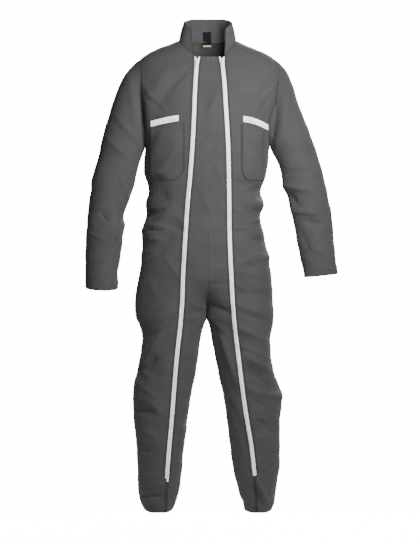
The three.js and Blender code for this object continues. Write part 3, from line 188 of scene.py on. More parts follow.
SMALL_FRONT_FOLDS = table(FOLD_COLUMNS, [
    (-60, -75, -125, -108, 9, 2.4), (-72, -100, -118, -150, 8, -2.2), (70, -78, 120, -106, 9, 2.2),
    (-210, -150, -150, -230, 9, 2.5), (-200, -190, -140, -245, 7, -2), (232, -130, 180, -210, 9, 2.5),
    (222, -160, 176, -240, 7, -2.2), (30, -178, 4, -232, 10, 2.5), (40, -310, 14, -358, 9, -2.6),
    (37, -396, 14, -418, 8, -2.6), (30, -300, -10, -340, 10, 2), (-150, -430, -204, -452, 8, 2.6),
    (-186, -462, -150, -456, 7, -3), (-196, -560, -150, -548, 8, 3.4), (-194, -582, -152, -568, 7, -3.4),
    (-196, -612, -150, -618, 8, 3.6), (-194, -634, -158, -630, 7, -3.4),
    (-200, -660, -166, -655, 8, 3), (-210, -694, -176, -674, 7, -3), (-216, -740, -172, -716, 9, 3),
    (-110, -626, -84, -632, 8, -2.4), (-100, -585, -78, -610, 9, 2), (110, -494, 160, -486, 8, 3.2),
    (164, -520, 176, -522, 8, -3.4), (146, -542, 176, -540, 7, 3), (150, -568, 176, -566, 7, -3),
    (142, -600, 178, -596, 8, 3.2), (95, -638, 126, -634, 8, -2.6), (150, -662, 190, -668, 8, -3),
    (144, -712, 196, -722, 9, 3), (120, -745, 156, -752, 8, -2.6), (128, -836, 200, -846, 9, -3.4),
    (80, -800, 150, -846, 10, 2.4), (20, -762, 58, -754, 10, 2), (4, -812, 62, -806, 9, -2.2),
    (5, -880, 60, -902, 8, -3), (-6, -890, -58, -872, 9, 2.4), (-10, -905, -64, -905, 8, -2.4),
    (-18, -935, -72, -985, 9, 2.6), (12, -930, 66, -975, 9, 2.6), (104, -956, 176, -990, 9, 3.6),
    (118, -830, 198, -850, 8, 2.2), (-118, -900, -180, -935, 10, 2.6), (-120, -950, -190, -980, 9, -2.4),
    (-164, -990, -212, -1074, 9, 3.4), (-180, -1064, -208, -1098, 8, -3.6),
    (-222, -1102, -190, -1120, 9, 3), (-232, -1146, -176, -1180, 9, 2.8),
    (-236, -1234, -188, -1236, 8, -3), (-226, -1290, -170, -1322, 10, 2.6),
    (-230, -1360, -180, -1372, 9, -2.2), (-120, -1180, -78, -1212, 10, 2.4),
    (-60, -1130, -96, -1180, 9, 2), (-102, -1240, -86, -1330, 10, 2.2), (134, -1056, 184, -1086, 8, 3.4),
    (136, -1100, 204, -1146, 9, -3.8), (168, -1172, 242, -1186, 8, 3.4), (160, -1200, 184, -1216, 7, -2.8),
    (166, -1264, 212, -1298, 8, -3), (150, -1230, 216, -1250, 9, 2.4), (150, -1330, 222, -1310, 9, 2.6),
    (170, -1380, 232, -1372, 9, -2.2), (50, -994, 94, -1126, 8, 3.2), (60, -1150, 104, -1230, 10, 2.2),
    (90, -1280, 120, -1370, 10, 2), (-220, -1516, -162, -1516, 6, -3), (-190, -1462, -148, -1462, 6, -2.6),
    (-168, -1472, -216, -1494, 8, 2.4), (-150, -1485, -112, -1530, 9, 2.6),
    (162, -1456, 204, -1460, 6, -2.8), (160, -1462, 192, -1526, 7, 4), (152, -1476, 176, -1540, 7, -3.6),
    (112, -1476, 142, -1516, 8, 2.6), (206, -1490, 214, -1540, 8, 2), (-290, -460, -268, -526, 8, 3),
    (-268, -480, -306, -500, 7, -2.6), (-356, -580, -334, -600, 7, -3.4), (-288, -616, -310, -640, 7, 3),
    (-290, -640, -330, -676, 8, 2.4), (-380, -560, -340, -548, 8, 2.4), (-396, -640, -350, -660, 8, 2),
    (-310, -700, -350, -730, 8, 2), (-330, -330, -270, -390, 10, 2.6), (-300, -260, -240, -330, 10, 2.4),
    (262, -484, 328, -498, 7, 3.4), (276, -518, 292, -546, 7, -3.2), (290, -568, 346, -574, 7, 3),
    (336, -606, 376, -612, 7, -3), (368, -640, 330, -718, 8, 2.6), (310, -640, 340, -700, 8, -2),
    (260, -330, 330, -390, 10, 2.4), (270, -440, 340, -430, 9, -2.4), (400, -560, 360, -540, 8, 2.4),
    (350, -690, 400, -720, 9, 1.8), (-229, -160, -215, -340, 9, -4.2), (-252, -170, -236, -320, 13, 3),
    (242, -150, 211, -335, 10, -4.6), (268, -170, 240, -320, 14, 3), (-150, -300, -182, -380, 10, 1.6),
    (-100, -345, -160, -440, 12, 1.8), (120, -330, 168, -430, 12, 1.6), (20, -400, 52, -480, 12, 1.8),
    (-30, -480, 20, -600, 14, 1.6), (90, -560, 130, -590, 9, 2), (84, -600, 140, -622, 9, -2),
    (-140, -720, -90, -800, 12, 1.8), (-196, -800, -150, -880, 12, 2), (110, -770, 190, -790, 9, 2.2),
    (100, -880, 180, -905, 9, 2.4), (110, -905, 190, -935, 8, -2.4), (106, -1010, 190, -1050, 9, 2.8),
    (112, -1085, 180, -1130, 8, 2.6), (130, -1140, 226, -1160, 8, -2.4), (140, -1250, 220, -1262, 8, 2.2),
    (-110, -1020, -150, -1110, 12, 2), (-200, -1200, -130, -1260, 11, 2), (-110, -1380, -160, -1440, 11, 1.8),
    (96, -1160, 112, -1250, 10, 2), (170, -1420, 225, -1440, 8, 2.2), (-20, -960, -60, -1040, 9, 1.8)])
SMALL_BACK_FOLDS = table(FOLD_COLUMNS, [
    (-170, -170, -110, -260, 10, 2.6), (180, -180, 120, -270, 10, 2.6), (-60, -140, 60, -150, 12, 1.8),
    (-120, -330, -150, -440, 12, 2.2), (110, -320, 150, -430, 12, 2.2), (-160, -480, -60, -500, 9, 3),
    (-20, -470, 90, -486, 10, 2.4), (60, -500, 168, -490, 9, 3), (-170, -536, -90, -552, 8, -3),
    (-40, -560, 60, -556, 9, 3), (90, -560, 170, -572, 8, -3), (-150, -700, -40, -720, 10, 2.6),
    (20, -730, 140, -712, 10, 2.6), (-60, -800, -170, -830, 11, 2.2), (70, -810, 180, -836, 11, 2.2),
    (-20, -880, -120, -915, 8, 3), (25, -885, 130, -930, 8, 3), (-60, -925, -150, -950, 8, -2.8),
    (60, -930, 150, -965, 8, -2.8), (-60, -1060, -150, -1090, 9, 2.8), (70, -1070, 170, -1060, 9, 2.8),
    (-90, -1150, -210, -1176, 8, 3.2), (90, -1150, 215, -1158, 8, 3.2), (-100, -1230, -190, -1250, 9, -2.6),
    (110, -1226, 200, -1240, 9, -2.6), (-110, -1340, -200, -1362, 10, 2.2), (110, -1330, 210, -1350, 10, 2.2),
    (-120, -1480, -200, -1500, 8, 2.8), (130, -1470, 210, -1490, 8, 2.8), (-290, -360, -340, -340, 9, 2.6),
    (-280, -470, -360, -450, 8, 3), (-300, -520, -390, -530, 8, -2.8), (-310, -620, -390, -630, 9, 2.4),
    (285, -360, 340, -340, 9, 2.6), (290, -470, 365, -450, 8, 3), (310, -520, 395, -530, 8, -2.8),
    (320, -620, 410, -630, 9, 2.4)])

def folds_at(folds, x, z, depth=1.0, overrun=0.0):
    """Sum of the ridges and troughs. With an overrun they run on past both ends and taper."""
    lift = np.zeros_like(x)
    for x1, z1, x2, z2, width, height in zip(*folds.values()):
        along = (x2 - x1, z2 - z1)
        t = ((x - x1) * along[0] + (z - z1) * along[1]) / (along[0] ** 2 + along[1] ** 2)
        t = np.clip(t, -overrun, 1 + overrun)
        distance = np.hypot(x - x1 - along[0] * t, z - z1 - along[1] * t)
        near = distance < 3.2 * width
        taper = np.cos((t[near] - 0.5) * math.pi / (1 + 2 * overrun)) if overrun else 1
        lift[near] += depth * height * taper * np.exp(-(distance[near] / width) ** 2)
    return lift

print("folds:", sum(len(t["x1"]) for t in (LARGE_FRONT_FOLDS, LARGE_BACK_FOLDS,
                                           SMALL_FRONT_FOLDS, SMALL_BACK_FOLDS)))

# %% [markdown]
# ## Smooth curves and surfaces
# A Hermite curve through the rows of a table keeps the outline free of corners. The trunk is a
# rounded section at each level. Below the hips it parts into two tubes, so that the cloth makes
# the U-shaped crotch seam by itself.

# %% Helpers for curves
def smooth_step(low, high, value):
    t = np.clip((value - low) / (high - low), 0, 1)
    return t * t * (3 - 2 * t)

def mix(a, b, t):
    return a + (b - a) * t

def curve(form, name, z):
    levels, values = form["z"], form[name]
    z = np.clip(z, levels[-1], levels[0])
    last = len(levels) - 1
    i = np.clip(np.searchsorted(-levels, -z, side="left") - 1, 0, last - 1)
    before, after = np.clip(np.arange(-1, last), 0, last), np.clip(np.arange(1, last + 2), 0, last)
    slopes = (values[after] - values[before]) / (levels[after] - levels[before])
    span = levels[i + 1] - levels[i]
    t = (z - levels[i]) / span
    t2, t3 = t * t, t * t * t
    return (values[i] * (2 * t3 - 3 * t2 + 1) + slopes[i] * span * (t3 - 2 * t2 + t)
            + values[i + 1] * (3 * t2 - 2 * t3) + slopes[i + 1] * span * (t3 - t2))

def unit(vectors):
    return vectors / np.linalg.norm(vectors, axis=-1, keepdims=True)

def wander(x, z, seed):
    """Slow uneven swell of the cloth, about 1 mm."""
    total = 0
    for index in range(5):
        angle = 1.1 * seed + 2.4 * index
        length = 62 + 31 * index
        phase = 3.7 * index + seed
        across = x * math.cos(angle) + z * math.sin(angle)
        total = total + np.sin(across * 2 * math.pi / length + phase)
    return 0.55 * total

def lift_of(x, y, z):
    front = smooth_step(25, -25, y)
    lift = front * folds_at(LARGE_FRONT_FOLDS, x, z) + (1 - front) * folds_at(LARGE_BACK_FOLDS, x, z)
    small = front * folds_at(SMALL_FRONT_FOLDS, x, z, CREASE_DEPTH, CREASE_OVERRUN)
    small = small + (1 - front) * folds_at(SMALL_BACK_FOLDS, x, z, CREASE_DEPTH, CREASE_OVERRUN)
    # Creases run out towards the sides, where they would cut notches into the outline
    lift = lift + small * mix(0.2, 1, smooth_step(5, 45, np.abs(y)))
    # Gathers of the elastic at the back of the waist
    gather = np.exp(-((z - WAIST - 8) / 26) ** 2) * smooth_step(20, 70, y)
    gather = gather * (1 - smooth_step(130, 165, np.abs(x)))
    lift = lift + gather * 2.6 * np.sin(x * 2 * math.pi / (15 + 1.5 * np.sin(x / 31)))
    return lift + mix(wander(x, z, 1.3), wander(x, z, 4.1), front)

# %% Surfaces
HEM_RISE = 8
PARTING_TURN = 1.7        # above 1, the centre seam stays forward until near the crotch

def rounded_radius(cos, sin, half_x, half_y):
    """Radius of a section whose form lies between an ellipse and a box."""
    return ((np.abs(cos) / half_x) ** SQUARENESS
            + (np.abs(sin) / half_y) ** SQUARENESS) ** (-1 / SQUARENESS)

def trunk(theta, z):
    cos, sin = np.cos(theta), np.sin(theta)
    half_x = np.where(cos < 0, curve(TRUNK, "left", z), curve(TRUNK, "right", z))
    half_y = np.where(sin < 0, curve(TRUNK, "front", z), curve(TRUNK, "back", z))
    radius = rounded_radius(cos, sin, half_x, half_y)
    x, y = radius * cos, radius * sin
    lift = lift_of(x, y, z) * smooth_step(-40, -90, z)
    return np.stack([x + lift * cos, y + lift * sin, z + 0 * x], axis=-1)

def parted_at(z):
    """How far the trunk has parted into legs, from 0 to 1."""
    return smooth_step(PARTING, CROTCH, z) ** PARTING_TURN

def leg(side, share, z):
    sign = SIGN[side]
    parted = parted_at(z)
    theta = np.radians(-90 + sign * 180 * share)
    body = trunk(theta, np.maximum(z, CROTCH))
    outer, inner = curve(LEGS, side + "Outer", z), curve(LEGS, side + "Inner", z)
    cos, sin = np.cos(2 * math.pi * share), np.sin(2 * math.pi * share)
    depth = np.where(sin > 0, curve(LEGS, "front", z), curve(LEGS, "back", z))
    x = sign * (outer + inner) / 2 - sign * (outer - inner) / 2 * cos
    y = -depth * sin
    beside_seam = smooth_step(0, 0.12, np.minimum(share, 1 - share))
    lift = lift_of(x, y, z) * mix(1, beside_seam, smooth_step(CROTCH - 50, CROTCH, z))
    x, y = x - sign * lift * cos, y - lift * sin
    # The hem rises at the sides, where it was pressed flat
    rise = HEM_RISE * smooth_step(-1500, HEM, z) * cos ** 4
    return np.stack([mix(body[..., 0], x, parted), mix(body[..., 1], y, parted), z + rise], axis=-1)

def side_of_leg(side):
    return lambda share, z: leg(side, share, z)

def find(surface, z, x, low, high):
    """Place round a surface where it reaches x, for each level z."""
    a, b = np.full_like(z, low), np.full_like(z, high)
    rising = surface(b, z)[..., 0] > surface(a, z)[..., 0]
    for _ in range(34):
        middle = (a + b) / 2
        below = (surface(middle, z)[..., 0] < x) == rising
        a, b = np.where(below, middle, a), np.where(below, b, middle)
    return (a + b) / 2

def around_step(surface, around, z, distance):
    ahead, behind = surface(around + 0.002, z), surface(around - 0.002, z)
    return distance * 0.004 / np.linalg.norm(ahead - behind, axis=-1)

def frame_on(surface, place, z, step):
    """Points of a surface and its normals, which face the front."""
    around = surface(place + step, z) - surface(place - step, z)
    along = surface(place, z + 2) - surface(place, z - 2)
    normals = unit(np.cross(around, along))
    return surface(place, z), normals * np.where(normals[:, 1:2] > 0, -1, 1)

print("front of the chest at y =", trunk(np.array([-math.pi / 2]), np.array([-300.0]))[0].round(1))

# %% [markdown]
# ## Edges of the panels
# A pattern cutter draws each panel by its edges. Here an edge is a function of the height that
# gives the place round the surface, so two neighbours share one line and stay 0.3 mm apart.

# %% Edge functions
def zip_half(z):
    return mix(ZIP_HALF, ZIP_TOP_HALF, smooth_step(-82, CENTRE_TOP, z))

def on_front(x, z):
    return find(trunk, z, x, -math.pi, 0.0)

def neck_end(side):
    level = np.array([float(COLLAR_FRONT)])
    return (curve(ZIPS, side, level) + SIGN[side] * (zip_half(level) + SEAM))[0]

def upper_front_edges(side):
    sign = SIGN[side]

    def edges(z):
        zip_x = curve(ZIPS, side, z) + sign * (zip_half(z) + SEAM)
        neck_x = mix(sign * TRUNK[side][0], neck_end(side), np.clip(z / COLLAR_FRONT, 0, 1))
        inner = on_front(np.where(z > COLLAR_FRONT, neck_x + sign * SEAM / 2, zip_x), z)
        rim = np.full_like(z, -math.pi if sign < 0 else 0.0)
        outer = rim - sign * around_step(trunk, rim, z, SEAM / 2)
        key = "frontLeft" if sign < 0 else "frontRight"
        in_armhole = (z < SHOULDER) & (z > ARMPIT)
        return inner, np.where(in_armhole, on_front(sign * curve(ARMHOLE, key, z), z), outer)
    return edges

def back_edges(z):
    places = []
    for side, rim_angle in (("left", math.pi), ("right", 0.0)):
        sign = SIGN[side]
        rim = np.full_like(z, rim_angle)
        outer = rim + sign * around_step(trunk, rim, z, SEAM / 2)
        hole = find(trunk, z, sign * curve(ARMHOLE, "back", z), math.pi, 0.0)
        places.append(np.where((z < SHOULDER) & (z > ARMPIT), hole, outer))
    return places

def centre_edges(z):
    gap = zip_half(z) + SEAM
    return on_front(curve(ZIPS, "left", z) + gap, z), on_front(curve(ZIPS, "right", z) - gap, z)

def leg_edges(side, piece):
    surface = side_of_leg(side)
    sign = SIGN[side]

    def beside_zip(z, outwards):
        gap = np.where(z >= ZIP_END[side], ZIP_HALF + SEAM, SEAM / 2)
        return find(surface, z, curve(ZIPS, side, z) + sign * outwards * gap, 0.005, 0.5)

    def edges(z):
        def step(share):
            return around_step(surface, np.full_like(z, share), z, SEAM / 2)
        if piece == "inner":
            return step(0.004), beside_zip(z, -1)
        if piece == "outer":
            return beside_zip(z, 1), 0.5 - step(0.5)
        return 0.5 + step(0.5), 1 - step(0.996)
    return edges

# %% [markdown]
# ## From a grid of points to a shell
# A panel is a grid: rows run down, columns run round. Near its edges the cloth is double, with a
# turned seam, so it stands a little proud and puckers between the stitches. The grid becomes a
# mesh, and Solidify gives it the thickness of the cloth.

# %% Grids
CLOTH = 1.5
STEP = 5.0
# How far the allowance reaches past the seam, and how deep it lies there
ALLOWANCE = ((0.25, 0.9), (0.8, 1.9), (5.0, 2.3))

def normals_of(points, outside):
    across = np.gradient(points, axis=1)
    down = np.gradient(points, axis=0)
    normal = np.cross(across, down)
    normal /= np.linalg.norm(normal, axis=-1, keepdims=True) + 1e-12
    flip = np.sign(np.sum(normal * outside, axis=-1, keepdims=True))
    return normal * np.where(flip == 0, 1, flip)

def run_of(points):
    steps = np.linalg.norm(np.diff(points, axis=1), axis=-1)
    return np.concatenate([np.zeros((len(points), 1)), np.cumsum(steps, axis=1)], axis=1)

def panel(surface, top, bottom, edges, levels=()):
    rows = np.linspace(top, bottom, int(abs(top - bottom) / STEP) + 2)
    z = np.array(sorted({*rows, *levels}, reverse=True), dtype=float)
    start, end = edges(z)
    widest = np.max(np.linalg.norm(surface(start, z) - surface(end, z), axis=-1))
    columns = int(max(widest, 0.62 * np.max(np.abs(end - start)) * 100) / STEP) + 3
    t = np.linspace(0, 1, columns)
    around = start[:, None] + (end - start)[:, None] * t[None, :]
    level = np.broadcast_to(z[:, None], around.shape)
    points = surface(around, level)
    middle = surface(around + (math.pi if surface is trunk else 0.5), level)
    grid = {"points": points, "normals": normals_of(points, points - middle), "z": level}
    grid["run"] = run_of(points)
    return grid

def raised(grid, lift):
    grid["points"] = grid["points"] + grid["normals"] * lift[..., None]

def seam_relief(distance, along, width=9, height=0.9, pucker=0.35, wave=13):
    """A turned seam: proud by its allowance, and puckered between the stitches."""
    proud = height * smooth_step(width + 1.2, width - 0.8, distance) * smooth_step(-0.5, 1.2, distance)
    ripple = pucker * np.sin(along * 2 * math.pi / wave + 1.5 * np.sin(along / 37))
    return proud + ripple * np.exp(-((distance - 5) / 11) ** 2)

def sew_edges(grid, left=None, right=None, top=None, bottom=None):
    run = grid["run"]
    for style, distance, along in (
            (left, run, grid["z"]), (right, run[:, -1:] - run, grid["z"]),
            (top, grid["z"][0, 0] - grid["z"], run), (bottom, grid["z"] - grid["z"][-1, 0], run)):
        if style:
            raised(grid, seam_relief(distance, along, **style))
    return grid

def extended(values, front, back, axis):
    return np.concatenate([*front, values, *back], axis=axis)

def lay_under(grid, left=False, right=False, top=False, depth=1.0):
    """Adds the seam allowance: a strip that dips and runs on beneath the next panel."""
    for wanted, axis, edge, inner in ((left, 1, 0, 1), (right, 1, -1, -2), (top, 0, 0, 1)):
        if not wanted:
            continue
        points, normals = grid["points"], grid["normals"]
        rim, beside = points.take([edge], axis), points.take([inner], axis)
        outwards = rim - beside
        outwards /= np.linalg.norm(outwards, axis=-1, keepdims=True) + 1e-12
        normal = normals.take([edge], axis)
        strip = [rim + outwards * ahead - normal * sunk * depth for ahead, sunk in ALLOWANCE]
        strip = strip[::-1] if edge == 0 else strip
        front, back = (strip, []) if edge == 0 else ([], strip)
        grid["points"] = extended(points, front, back, axis)
        same = [normal] * len(strip)
        grid["normals"] = extended(normals, same if front else [], same if back else [], axis)
        level = [grid["z"].take([edge], axis)] * len(strip)
        grid["z"] = extended(grid["z"], level if front else [], level if back else [], axis)
    grid["run"] = run_of(grid["points"])
    return grid

# %% Meshes
def select_only(*objects):
    bpy.ops.object.select_all(action="DESELECT")
    for obj in objects:
        obj.select_set(True)
    bpy.context.view_layer.objects.active = objects[0]

def new_object(name, mesh):
    obj = bpy.data.objects.new(name, mesh)
    bpy.context.scene.collection.objects.link(obj)
    return obj

def grid_mesh(name, grid, closed=False):
    points, normals = grid["points"], grid["normals"]
    rows, columns = points.shape[:2]
    index = np.arange(rows * columns).reshape(rows, columns)
    right = np.roll(index, -1, axis=1) if closed else index[:, 1:]
    left = index if closed else index[:, :-1]
    quads = np.stack([left[:-1], left[1:], right[1:], right[:-1]], axis=-1).reshape(-1, 4)
    flat = points.reshape(-1, 3)
    a, b, c = flat[quads[:, 0]], flat[quads[:, 1]], flat[quads[:, 2]]
    facing = np.sum(np.cross(b - a, c - a) * normals.reshape(-1, 3)[quads[:, 0]])
    if facing < 0:
        quads = quads[:, ::-1]
    mesh = bpy.data.meshes.new(name)
    mesh.from_pydata((flat * MM).tolist(), [], quads.tolist())
    run, level = grid["run"].reshape(-1), grid["z"].reshape(-1)
    corners = np.empty(len(mesh.loops), dtype=np.int32)
    mesh.loops.foreach_get("vertex_index", corners)
    uv = mesh.uv_layers.new(name="cloth")
    uv.data.foreach_set("uv", (np.stack([run[corners], level[corners]], axis=-1) * MM).ravel())
    # The seam attribute carries the mask of painted shade at the panel edges.
    seam = mesh.attributes.new("seam", "FLOAT", "POINT")
    seam.data.foreach_set("value", grid.get("seam", np.zeros(points.shape[:2])).ravel().astype(np.float32))
    mesh.polygons.foreach_set("use_smooth", [True] * len(mesh.polygons))
    return new_object(name, mesh)

def solidify(obj, thickness):
    select_only(obj)
    modifier = obj.modifiers.new("cloth thickness", "SOLIDIFY")
    modifier.thickness = thickness * MM
    modifier.offset = -1
    modifier.use_rim = True
    bpy.ops.object.modifier_apply(modifier=modifier.name)
    bpy.ops.object.shade_smooth_by_angle(angle=math.radians(50))

finished = []

def finish_piece(obj, material, node=None, body="suit"):
    obj.data.materials.clear()
    obj.data.materials.append(material)
    if node:
        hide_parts(*([node] if isinstance(node, str) else node))
    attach(obj, body)
    finished.append(obj.name)
    return obj

def declare_cut(obj, grid):
    """States the cut of a panel: its widest row, its length, and its flat area."""
    width = float(np.max(grid["run"][:, -1])) * MM
    steps = np.linalg.norm(np.diff(grid["points"], axis=0), axis=-1)
    length = float(np.max(np.sum(steps, axis=0))) * MM
    heights = np.mean(steps, axis=1)
    widths = (grid["run"][1:, -1] + grid["run"][:-1, -1]) / 2
    area = float(np.sum(heights * widths)) * MM * MM
    area = min(max(area, 0.301 * width * length), width * length)
    print(f"  {obj.name}: cut {width:.2f} x {length:.2f} m, {area:.3f} m2")

# %% [markdown]
# ## Twill, thread and enamel
# Boiler suits are made of cotton or polycotton twill, whose weft passes over the warp in steps,
# so fine diagonal ribs run up the cloth. The ribs, the mottling of washed cloth and the fine
# fuzz are node groups, so that cloth, tape and label use the same weave at different scales.

# %% Node helpers
def add_node(tree, kind, inputs=None, **settings):
    made = tree.nodes.new(kind)
    for name, value in settings.items():
        setattr(made, name, value)
    for key, value in (inputs or {}).items():
        if isinstance(value, bpy.types.NodeSocket):
            tree.links.new(value, made.inputs[key])
        else:
            made.inputs[key].default_value = value
    return made

def maths(tree, operation, first, second=0.0, third=0.0):
    made = add_node(tree, "ShaderNodeMath", {0: first, 1: second, 2: third}, operation=operation)
    return made.outputs[0]

def new_group(name, inputs, outputs):
    group = bpy.data.node_groups.new(name, "ShaderNodeTree")
    for label, kind, value in inputs:
        socket = group.interface.new_socket(label, in_out="INPUT", socket_type=kind)
        if value is not None:
            socket.default_value = value
    for label, kind in outputs:
        group.interface.new_socket(label, in_out="OUTPUT", socket_type=kind)
    return group, group.nodes.new("NodeGroupInput"), group.nodes.new("NodeGroupOutput")

# %% Weave group
def make_weave():
    """Diagonal ribs with threads across them, from a pattern vector in metres."""
    group, start, end = new_group(
        "twill_weave",
        [("Vector", "NodeSocketVector", None), ("Rib", "NodeSocketFloat", 0.0012),
         ("Slant", "NodeSocketFloat", 1.0)],
        [("Height", "NodeSocketFloat"), ("Mask", "NodeSocketFloat")])
    parts = add_node(group, "ShaderNodeSeparateXYZ", {0: start.outputs["Vector"]})
    slanted = maths(group, "MULTIPLY", parts.outputs["X"], start.outputs["Slant"])
    rib_turn = maths(group, "DIVIDE", maths(group, "ADD", slanted, parts.outputs["Y"]),
                     start.outputs["Rib"])
    rib = maths(group, "SINE", maths(group, "MULTIPLY", rib_turn, 2 * math.pi))
    thread_turn = maths(group, "DIVIDE", maths(group, "SUBTRACT", parts.outputs["X"],
                                               parts.outputs["Y"]), start.outputs["Rib"])
    thread = maths(group, "SINE", maths(group, "MULTIPLY", thread_turn, 4 * math.pi))
    fuzz = add_node(group, "ShaderNodeTexNoise",
                    {"Vector": start.outputs["Vector"], "Scale": 900.0, "Detail": 2.0})
    woven = maths(group, "ADD", rib, maths(group, "MULTIPLY", thread, 0.35))
    height = maths(group, "ADD", maths(group, "MULTIPLY", woven, 0.36), fuzz.outputs["Fac"])
    group.links.new(height, end.inputs["Height"])
    group.links.new(maths(group, "MULTIPLY_ADD", woven, 0.37, 0.5), end.inputs["Mask"])
    return group

def make_mottle():
    """Uneven tone of washed cloth: broad clouds, small flecks and long slubs."""
    group, start, end = new_group(
        "washed_mottle",
        [("Vector", "NodeSocketVector", None), ("Clouds", "NodeSocketFloat", 14.0)],
        [("Mask", "NodeSocketFloat")])
    clouds = add_node(group, "ShaderNodeTexNoise",
                      {"Vector": start.outputs["Vector"], "Scale": start.outputs["Clouds"], "Detail": 4.0})
    flecks = add_node(group, "ShaderNodeTexNoise",
                      {"Vector": start.outputs["Vector"], "Scale": 420.0, "Detail": 2.0})
    stretched = add_node(group, "ShaderNodeMapping",
                         {"Vector": start.outputs["Vector"], "Scale": (60.0, 60.0, 900.0)})
    slubs = add_node(group, "ShaderNodeTexNoise",
                     {"Vector": stretched.outputs[0], "Scale": 1.0, "Detail": 1.0})
    tone = maths(group, "MULTIPLY_ADD", clouds.outputs["Fac"], 0.6,
                 maths(group, "MULTIPLY", flecks.outputs["Fac"], 0.25))
    tone = maths(group, "MULTIPLY_ADD", slubs.outputs["Fac"], 0.15, tone)
    group.links.new(tone, end.inputs["Mask"])
    return group

WEAVE, MOTTLE = make_weave(), make_mottle()

def new_material(name):
    material = bpy.data.materials.new(name)
    material.use_nodes = True
    tree = material.node_tree
    return material, tree, tree.nodes["Principled BSDF"]

def grey(level, tint=(1, 1, 1)):
    """Linear colour from an sRGB grey of 0 to 255 and a tint."""
    value = ((level / 255 + 0.055) / 1.055) ** 2.4
    return (value * tint[0], value * tint[1], value * tint[2], 1)

def colour_mix(tree, mask, low, high):
    made = add_node(tree, "ShaderNodeMix", {0: mask, 6: low, 7: high}, data_type="RGBA")
    return made.outputs[2]

# %% Woven materials
def woven_material(name, low, high, rib, roughness, bump, sheen, source="cloth", edge_shade_tone=None,
                   gloss=0.25):
    material, tree, shader = new_material(name)
    if source == "object":
        vector = add_node(tree, "ShaderNodeTexCoord").outputs["Object"]
    else:
        vector = add_node(tree, "ShaderNodeUVMap", uv_map=source).outputs["UV"]
    place = add_node(tree, "ShaderNodeTexCoord").outputs["Object"]
    weave = tree.nodes.new("ShaderNodeGroup")
    weave.node_tree = WEAVE
    tree.links.new(vector, weave.inputs["Vector"])
    weave.inputs["Rib"].default_value = rib
    mottle = tree.nodes.new("ShaderNodeGroup")
    mottle.node_tree = MOTTLE
    tree.links.new(place, mottle.inputs["Vector"])
    tone = maths(tree, "MULTIPLY_ADD", weave.outputs["Mask"], 0.35,
                 maths(tree, "MULTIPLY_ADD", mottle.outputs["Mask"], 1.3, -0.33))
    colour = colour_mix(tree, tone, low, high)
    # Painted shade: near the marked panel edges the colour darkens towards a dark grey, unevenly with the
    # mottle. It stands for the shadow where an edge meets a zip tape or the next panel.
    if edge_shade_tone:
        seam = add_node(tree, "ShaderNodeAttribute", attribute_name="seam").outputs["Fac"]
        uneven = maths(tree, "MULTIPLY_ADD", mottle.outputs["Mask"], 0.6, 0.5)
        painted_edge_shade = maths(tree, "MULTIPLY", seam, uneven)
        colour = colour_mix(tree, painted_edge_shade, colour, edge_shade_tone)
    tree.links.new(colour, shader.inputs["Base Color"])
    rough = maths(tree, "MULTIPLY_ADD", mottle.outputs["Mask"], 0.12, roughness - 0.06)
    tree.links.new(rough, shader.inputs["Roughness"])
    shader.inputs["Sheen Weight"].default_value = sheen
    shader.inputs["Sheen Roughness"].default_value = 0.5
    shader.inputs["Specular IOR Level"].default_value = gloss
    relief = add_node(tree, "ShaderNodeBump", {"Height": weave.outputs["Height"],
                                               "Strength": bump, "Distance": 0.0004})
    tree.links.new(relief.outputs[0], shader.inputs["Normal"])
    return material

# The dark grey(19) at the edges of the twill is painted shade.
CLOTH_DARK = woven_material("dark_grey_twill", grey(46, (1, 1, 1.02)), grey(60, (1, 1, 1.01)),
                            0.0013, 0.9, 0.55, 0.05, edge_shade_tone=grey(19))
TAPE_WHITE = woven_material("white_zip_tape", grey(236, (0.98, 0.96, 1.13)),
                            grey(245, (0.98, 0.97, 1.08)), 0.0009, 0.8, 0.4, 0.1, source="object")
THREAD_DARK = woven_material("dark_thread", grey(44), grey(70), 0.0006, 0.75, 0.5, 0.1,
                             source="object")
LABEL_WOVEN = woven_material("dark_label_damask", grey(9), grey(18), 0.0005, 0.6, 0.4, 0.0,
                             source="object", gloss=0.03)
LABEL_END = woven_material("pale_green_label_end", grey(132, (0.95, 1.1, 0.4)),
                           grey(150, (0.95, 1.1, 0.45)), 0.0005, 0.6, 0.4, 0.1, source="object")

# %% Hard materials
def hard_material(name, low, high, roughness, metallic=0.0, coat=0.0):
    """Enamel or nylon: nearly even, with fine scuffs that show only in the gloss."""
    material, tree, shader = new_material(name)
    place = add_node(tree, "ShaderNodeTexCoord").outputs["Object"]
    scuffs = add_node(tree, "ShaderNodeTexNoise", {"Vector": place, "Scale": 700.0, "Detail": 3.0})
    tree.links.new(colour_mix(tree, scuffs.outputs["Fac"], low, high), shader.inputs["Base Color"])
    tree.links.new(maths(tree, "MULTIPLY_ADD", scuffs.outputs["Fac"], 0.2, roughness - 0.1),
                   shader.inputs["Roughness"])
    shader.inputs["Metallic"].default_value = metallic
    shader.inputs["Coat Weight"].default_value = coat
    relief = add_node(tree, "ShaderNodeBump", {"Height": scuffs.outputs["Fac"],
                                               "Strength": 0.15, "Distance": 0.0002})
    tree.links.new(relief.outputs[0], shader.inputs["Normal"])
    return material

COIL_NYLON = hard_material("white_nylon_coil", grey(228, (0.98, 0.97, 1.12)),
                           grey(244, (0.98, 0.97, 1.08)), 0.42)
ENAMEL = hard_material("white_enamel", grey(214, (1, 1, 1.04)), grey(232, (1, 1, 1.04)), 0.3, coat=0.4)
print("materials:", len(bpy.data.materials))

# %% [markdown]
# ## Trunk panels
# The front has a narrow centre panel between the zips and a wide panel on each side. The back is
# one panel down to the elasticated waist.

# %% Trunk
def inset(top, bottom):
    return top - SEAM / 2, bottom + SEAM / 2

